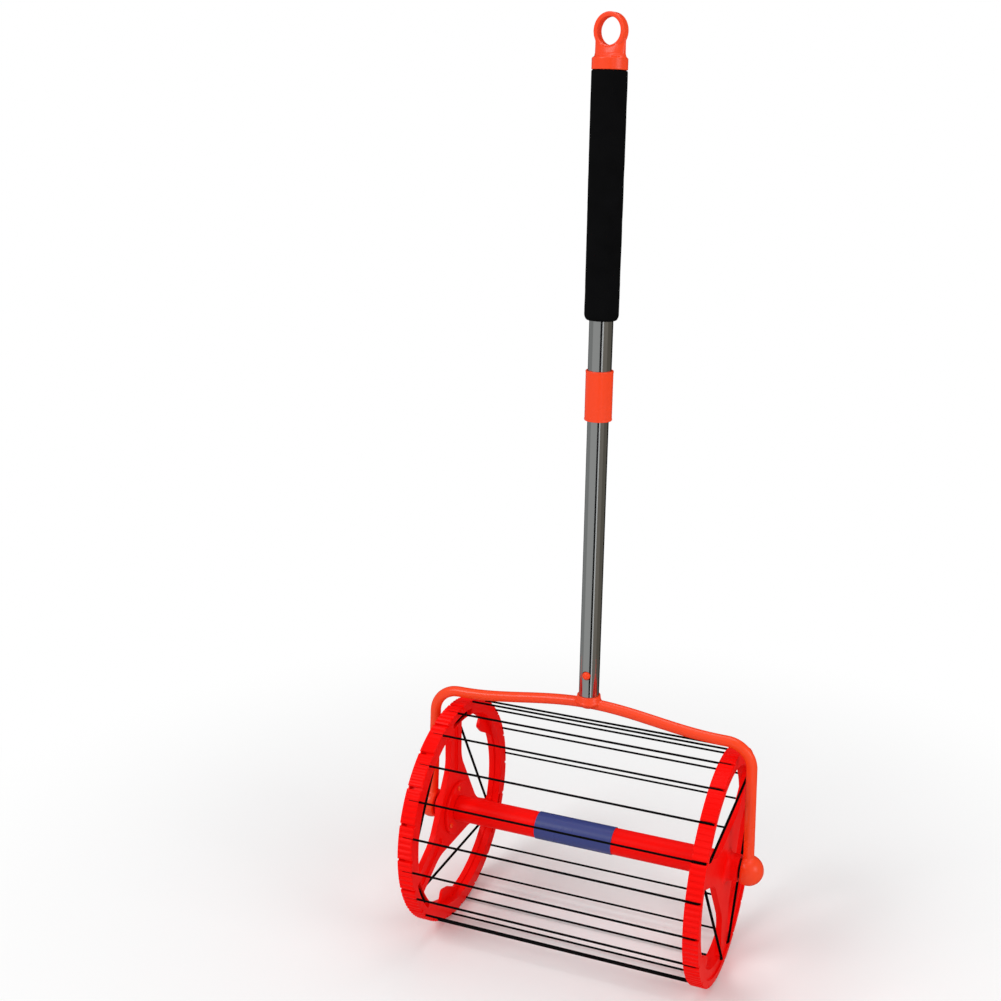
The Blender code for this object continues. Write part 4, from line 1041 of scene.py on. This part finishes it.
class HOPPER_OT_cords(bpy.types.Operator):
    """Lace a cord across each wheel's windows."""
    bl_idname = "hopper.cords"
    bl_label = "Window cords"

    def execute(self, context):
        sizes = context.scene.hopper_sizes
        for side, place in SIDES:
            cord = tube_along(f"laced_cord_{side}", cord_points(sizes), sizes.cord, 4, True)
            cord = shade(placed(cord, place), 60, False)
            dress(cord, "cord", "drum", f"window_cord_{side}")
        return {"FINISHED"}


class HOPPER_OT_hub(bpy.types.Operator):
    """Model the centre tube, its label, flanges, screws and bushes."""
    bl_idname = "hopper.hub"
    bl_label = "Centre tube and hubs"

    def execute(self, context):
        dress(model_centre_tube(), "wheel", "drum", "centre_tube")
        dress(model_label(), "label", "drum", "label_band")
        flange, screw, bush = model_flange(), model_screw(), model_bush()
        for side, place in SIDES:
            dress(copy_of(flange, f"tube_flange_{side}", place), "wheel", "drum",
                  f"hub_flange_{side}")
            dress(copy_of(bush, f"axle_bush_{side}", place), "nylon", "drum",
                  f"hub_bush_{side}")
            for i, angle in enumerate(SPOKES, 1):
                twin = copy_of(screw, f"cross_screw_{side}_{i}", place @ rotation(angle))
                dress(twin, "screw", "drum", f"hub_screw_{side}_{i}")
        discard(flange, screw, bush)
        return {"FINISHED"}


class HOPPER_OT_yoke(bpy.types.Operator):
    """Model the yoke moulding and finish the axle."""
    bl_idname = "hopper.yoke"
    bl_label = "Yoke"

    def execute(self, context):
        dress(model_yoke(), "yoke", "pole", "yoke_frame")
        paint(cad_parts["axle_rod"], "steel")
        return {"FINISHED"}


class HOPPER_OT_pole(bpy.types.Operator):
    """Model the tubes, collar and snap button, and finish the lock and its spring."""
    bl_idname = "hopper.pole"
    bl_label = "Pole"

    def execute(self, context):
        lower = model_tube("lower_steel_tube", "lower_tube", LOWER_TUBE_RADIUS, LOWER_TUBE_BORE,
                           button_hole(BUTTON_TUBE_HOLE))
        dress(lower, "tube", "pole", "lower_tube")
        upper = model_tube("upper_steel_tube", "upper_tube", UPPER_TUBE_RADIUS, UPPER_TUBE_BORE)
        dress(upper, "tube", "handle", "upper_tube")
        dress(model_collar(), "yoke", "handle", "lock_collar")
        dress(model_button(), "yoke", "button", "snap_button")
        for node, finish in (("lock_sleeve", "nylon"), ("lock_plug", "nylon"), ("snap_spring", "spring")):
            paint(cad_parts[node], finish)
        return {"FINISHED"}


class HOPPER_OT_handle(bpy.types.Operator):
    """Model the foam grip and the hanging cap."""
    bl_idname = "hopper.handle"
    bl_label = "Grip and cap"

    def execute(self, context):
        dress(model_grip(), "foam", "handle", "foam_grip")
        dress(model_cap(), "yoke", "handle", "hanging_cap")
        return {"FINISHED"}


# The stage

# Bearings of what the plated tubes reflect, from left to right, and its colour
REFLECTIONS = (
    ("left_edge", -180, -145, (0.03, 0.03, 0.03)),
    ("left_wall", -145, -80, (0.27, 0.28, 0.28)),
    ("wall", -80, -5, (0.40, 0.41, 0.41)),
    ("gap", -5, 14, (0.008, 0.008, 0.009)),
    ("window", 14, 26, (0.72, 0.74, 0.75)),
    ("room", 26, 70, (0.20, 0.185, 0.16)),
    ("far_room", 70, 125, (0.13, 0.12, 0.10)),
    ("right_edge", 125, 180, (0.02, 0.018, 0.016)),
)
# Reach and height of a card's rows: near the pole, at the floor's edge and at the top
CARD_ROWS = ((0.03, 0.0006), (1.5, 0.0006), (1.5, 3.0))

# Place, target, size and power of each lamp
LAMPS = (
    ("key_lamp", (-1.2, -1.6, 2.0), (0, 0, 0.35), 1.1, 24.0),
    ("side_lamp", (1.9, -0.5, 1.1), (0, 0, 0.25), 1.0, 12.0),
    ("top_lamp", (0.1, 0.6, 2.6), (0, 0, 0.2), 1.4, 12.0),
)
WORLD_LIGHT = 0.58
FLOOR_RADIUS = 30.0
FLOOR_FADE = (0.25, 0.85)

CAMERA_PLACE = (0.3753, -1.1004, 0.8117)
CAMERA_YAW = 19.27
CAMERA_PITCH = 17.47
CAMERA_ROLL = 1.78
FOCAL_PIXELS = 1282.66
PHOTO_WIDTH = 1001
PRINCIPAL_POINT = (585.0, 530.0)


def seen_rays(tree):
    """One for rays from the camera and for reflections, and nought for the rest."""
    rays = add_node(tree, "ShaderNodeLightPath")
    seen = add_node(tree, "ShaderNodeMath", operation="MAXIMUM")
    link(tree, (rays, "Is Camera Ray", seen, 0), (rays, "Is Glossy Ray", seen, 1))
    return seen


def floor_material(colour):
    """A pale floor whose far part is plain white to the camera."""
    material, tree, shader = new_material("studio_floor")
    fill_in(shader, {"Base Color": (*colour, 1.0), "Roughness": 0.9, "Specular IOR Level": 0.1})
    place = add_node(tree, "ShaderNodeTexCoord")
    length = add_node(tree, "ShaderNodeVectorMath", operation="LENGTH")
    fade = add_node(tree, "ShaderNodeMapRange", {"From Min": FLOOR_FADE[0], "From Max": FLOOR_FADE[1]},
                    interpolation_type="SMOOTHSTEP")
    white = add_node(tree, "ShaderNodeEmission", {"Strength": 1.0})
    amount = add_node(tree, "ShaderNodeMath", operation="MULTIPLY")
    mixed = add_node(tree, "ShaderNodeMixShader")
    link(tree, (place, "Object", length, 0), (length, "Value", fade, "Value"), (fade, "Result", amount, 0),
         (seen_rays(tree), 0, amount, 1), (amount, 0, mixed, "Fac"), (shader, "BSDF", mixed, 1),
         (white, "Emission", mixed, 2), (mixed, "Shader", tree.nodes["Material Output"], "Surface"))
    return material


def card_material(name, colour):
    material, tree, _ = new_material(name)
    glow = add_node(tree, "ShaderNodeEmission", {"Color": (*colour, 1.0)})
    link(tree, (glow, "Emission", tree.nodes["Material Output"], "Surface"))
    return material


def add_card(name, start, end, colour):
    """A card that only reflections see, over the floor and up, between two bearings.

    A bearing of zero is from the pole towards the camera and grows to its right.
    """
    front = math.degrees(math.atan2(CAMERA_PLACE[1], CAMERA_PLACE[0]))
    directions = arc((0, 0), 1.0, front + start, front + end, max(2, int(abs(end - start) / 6)))
    count = len(directions)
    mesh = bpy.data.meshes.new(name)
    verts = [(x * reach, y * reach, z) for reach, z in CARD_ROWS for x, y in directions]
    faces = [(row + i, row + i + 1, row + count + i + 1, row + count + i)
             for row in (0, count) for i in range(count - 1)]
    mesh.from_pydata(verts, [], faces)
    card = bpy.data.objects.new(name, mesh)
    bpy.context.scene.collection.objects.link(card)
    mesh.materials.append(card_material(name, colour))
    for rays in ("camera", "diffuse", "transmission", "volume_scatter", "shadow"):
        setattr(card, "visible_" + rays, False)


def add_lamp(name, place, target, size, power):
    lamp = bpy.data.lights.new(name, "AREA")
    lamp.energy = power
    lamp.size = size
    obj = bpy.data.objects.new(name, lamp)
    obj.location = place
    obj.rotation_euler = (Vector(target) - Vector(place)).to_track_quat("-Z", "Y").to_euler()
    bpy.context.scene.collection.objects.link(obj)


def add_camera(scene):
    camera = bpy.data.cameras.new("camera")
    camera.sensor_width = 36.0
    camera.lens = FOCAL_PIXELS * camera.sensor_width / PHOTO_WIDTH
    camera.shift_x = (PHOTO_WIDTH / 2 - PRINCIPAL_POINT[0]) / PHOTO_WIDTH
    camera.shift_y = (PRINCIPAL_POINT[1] - PHOTO_WIDTH / 2) / PHOTO_WIDTH
    camera.clip_start = 0.01
    obj = bpy.data.objects.new("camera", camera)
    obj.matrix_world = (Matrix.Translation(CAMERA_PLACE) @ rotation(CAMERA_YAW)
                        @ rotation(90 - CAMERA_PITCH, "X") @ rotation(CAMERA_ROLL))
    scene.collection.objects.link(obj)
    scene.camera = obj


def light_world(scene):
    """Plain white to the camera and in reflections, and a softer light on everything."""
    world = bpy.data.worlds.new("studio")
    world.use_nodes = True
    tree = world.node_tree
    lit = tree.nodes["Background"]
    white = (1.0, 1.0, 1.0, 1.0)
    fill_in(lit, {"Color": white, "Strength": WORLD_LIGHT})
    seen = add_node(tree, "ShaderNodeBackground", {"Color": white})
    mixed = add_node(tree, "ShaderNodeMixShader")
    link(tree, (seen_rays(tree), 0, mixed, "Fac"), (lit, "Background", mixed, 1),
         (seen, "Background", mixed, 2), (mixed, "Shader", tree.nodes["World Output"], "Surface"))
    scene.world = world


class HOPPER_OT_stage(bpy.types.Operator):
    """Add the floor, the lamps, the reflection cards and the camera."""
    bl_idname = "hopper.stage"
    bl_label = "Studio"

    def execute(self, context):
        scene = context.scene
        floor = add_shape("studio_floor", bpy.ops.mesh.primitive_circle_add, vertices=64,
                          radius=FLOOR_RADIUS, fill_type="NGON")
        floor.data.materials.append(floor_material(scene.hopper_colours.floor))
        for lamp in LAMPS:
            add_lamp(*lamp)
        for name, start, end, colour in REFLECTIONS:
            add_card("reflected_" + name, start, end, colour)
        add_camera(scene)
        light_world(scene)
        scene.view_settings.view_transform = "Standard"
        return {"FINISHED"}


class HOPPER_PT_panel(bpy.types.Panel):
    """Sidebar panel with the hopper's pieces, sizes and colours."""
    bl_label = "Ball pickup hopper"
    bl_space_type = "VIEW_3D"
    bl_region_type = "UI"
    bl_category = "Hopper"

    def draw(self, context):
        layout = self.layout
        for operator in OPERATORS:
            layout.operator(operator.bl_idname)
        for group in (context.scene.hopper_sizes, context.scene.hopper_colours):
            for key in group.__annotations__:
                layout.prop(group, key)


OPERATORS = (HOPPER_OT_finishes, HOPPER_OT_wheels, HOPPER_OT_wires, HOPPER_OT_cords, HOPPER_OT_hub,
             HOPPER_OT_yoke, HOPPER_OT_pole, HOPPER_OT_handle, HOPPER_OT_stage)
CLASSES = (HopperSizes, HopperColours) + OPERATORS + (HOPPER_PT_panel,)


def register():
    for item in CLASSES:
        bpy.utils.register_class(item)
    bpy.types.Scene.hopper_sizes = PointerProperty(type=HopperSizes)
    bpy.types.Scene.hopper_colours = PointerProperty(type=HopperColours)


def unregister():
    del bpy.types.Scene.hopper_colours
    del bpy.types.Scene.hopper_sizes
    for item in reversed(CLASSES):
        bpy.utils.unregister_class(item)


def main():
    register()
    bpy.ops.hopper.finishes()
    bpy.ops.hopper.wheels()
    bpy.ops.hopper.wires()
    bpy.ops.hopper.cords()
    bpy.ops.hopper.hub()
    bpy.ops.hopper.yoke()
    bpy.ops.hopper.pole()
    bpy.ops.hopper.handle()
    bpy.ops.hopper.stage()


if __name__ == "__main__":
    main()
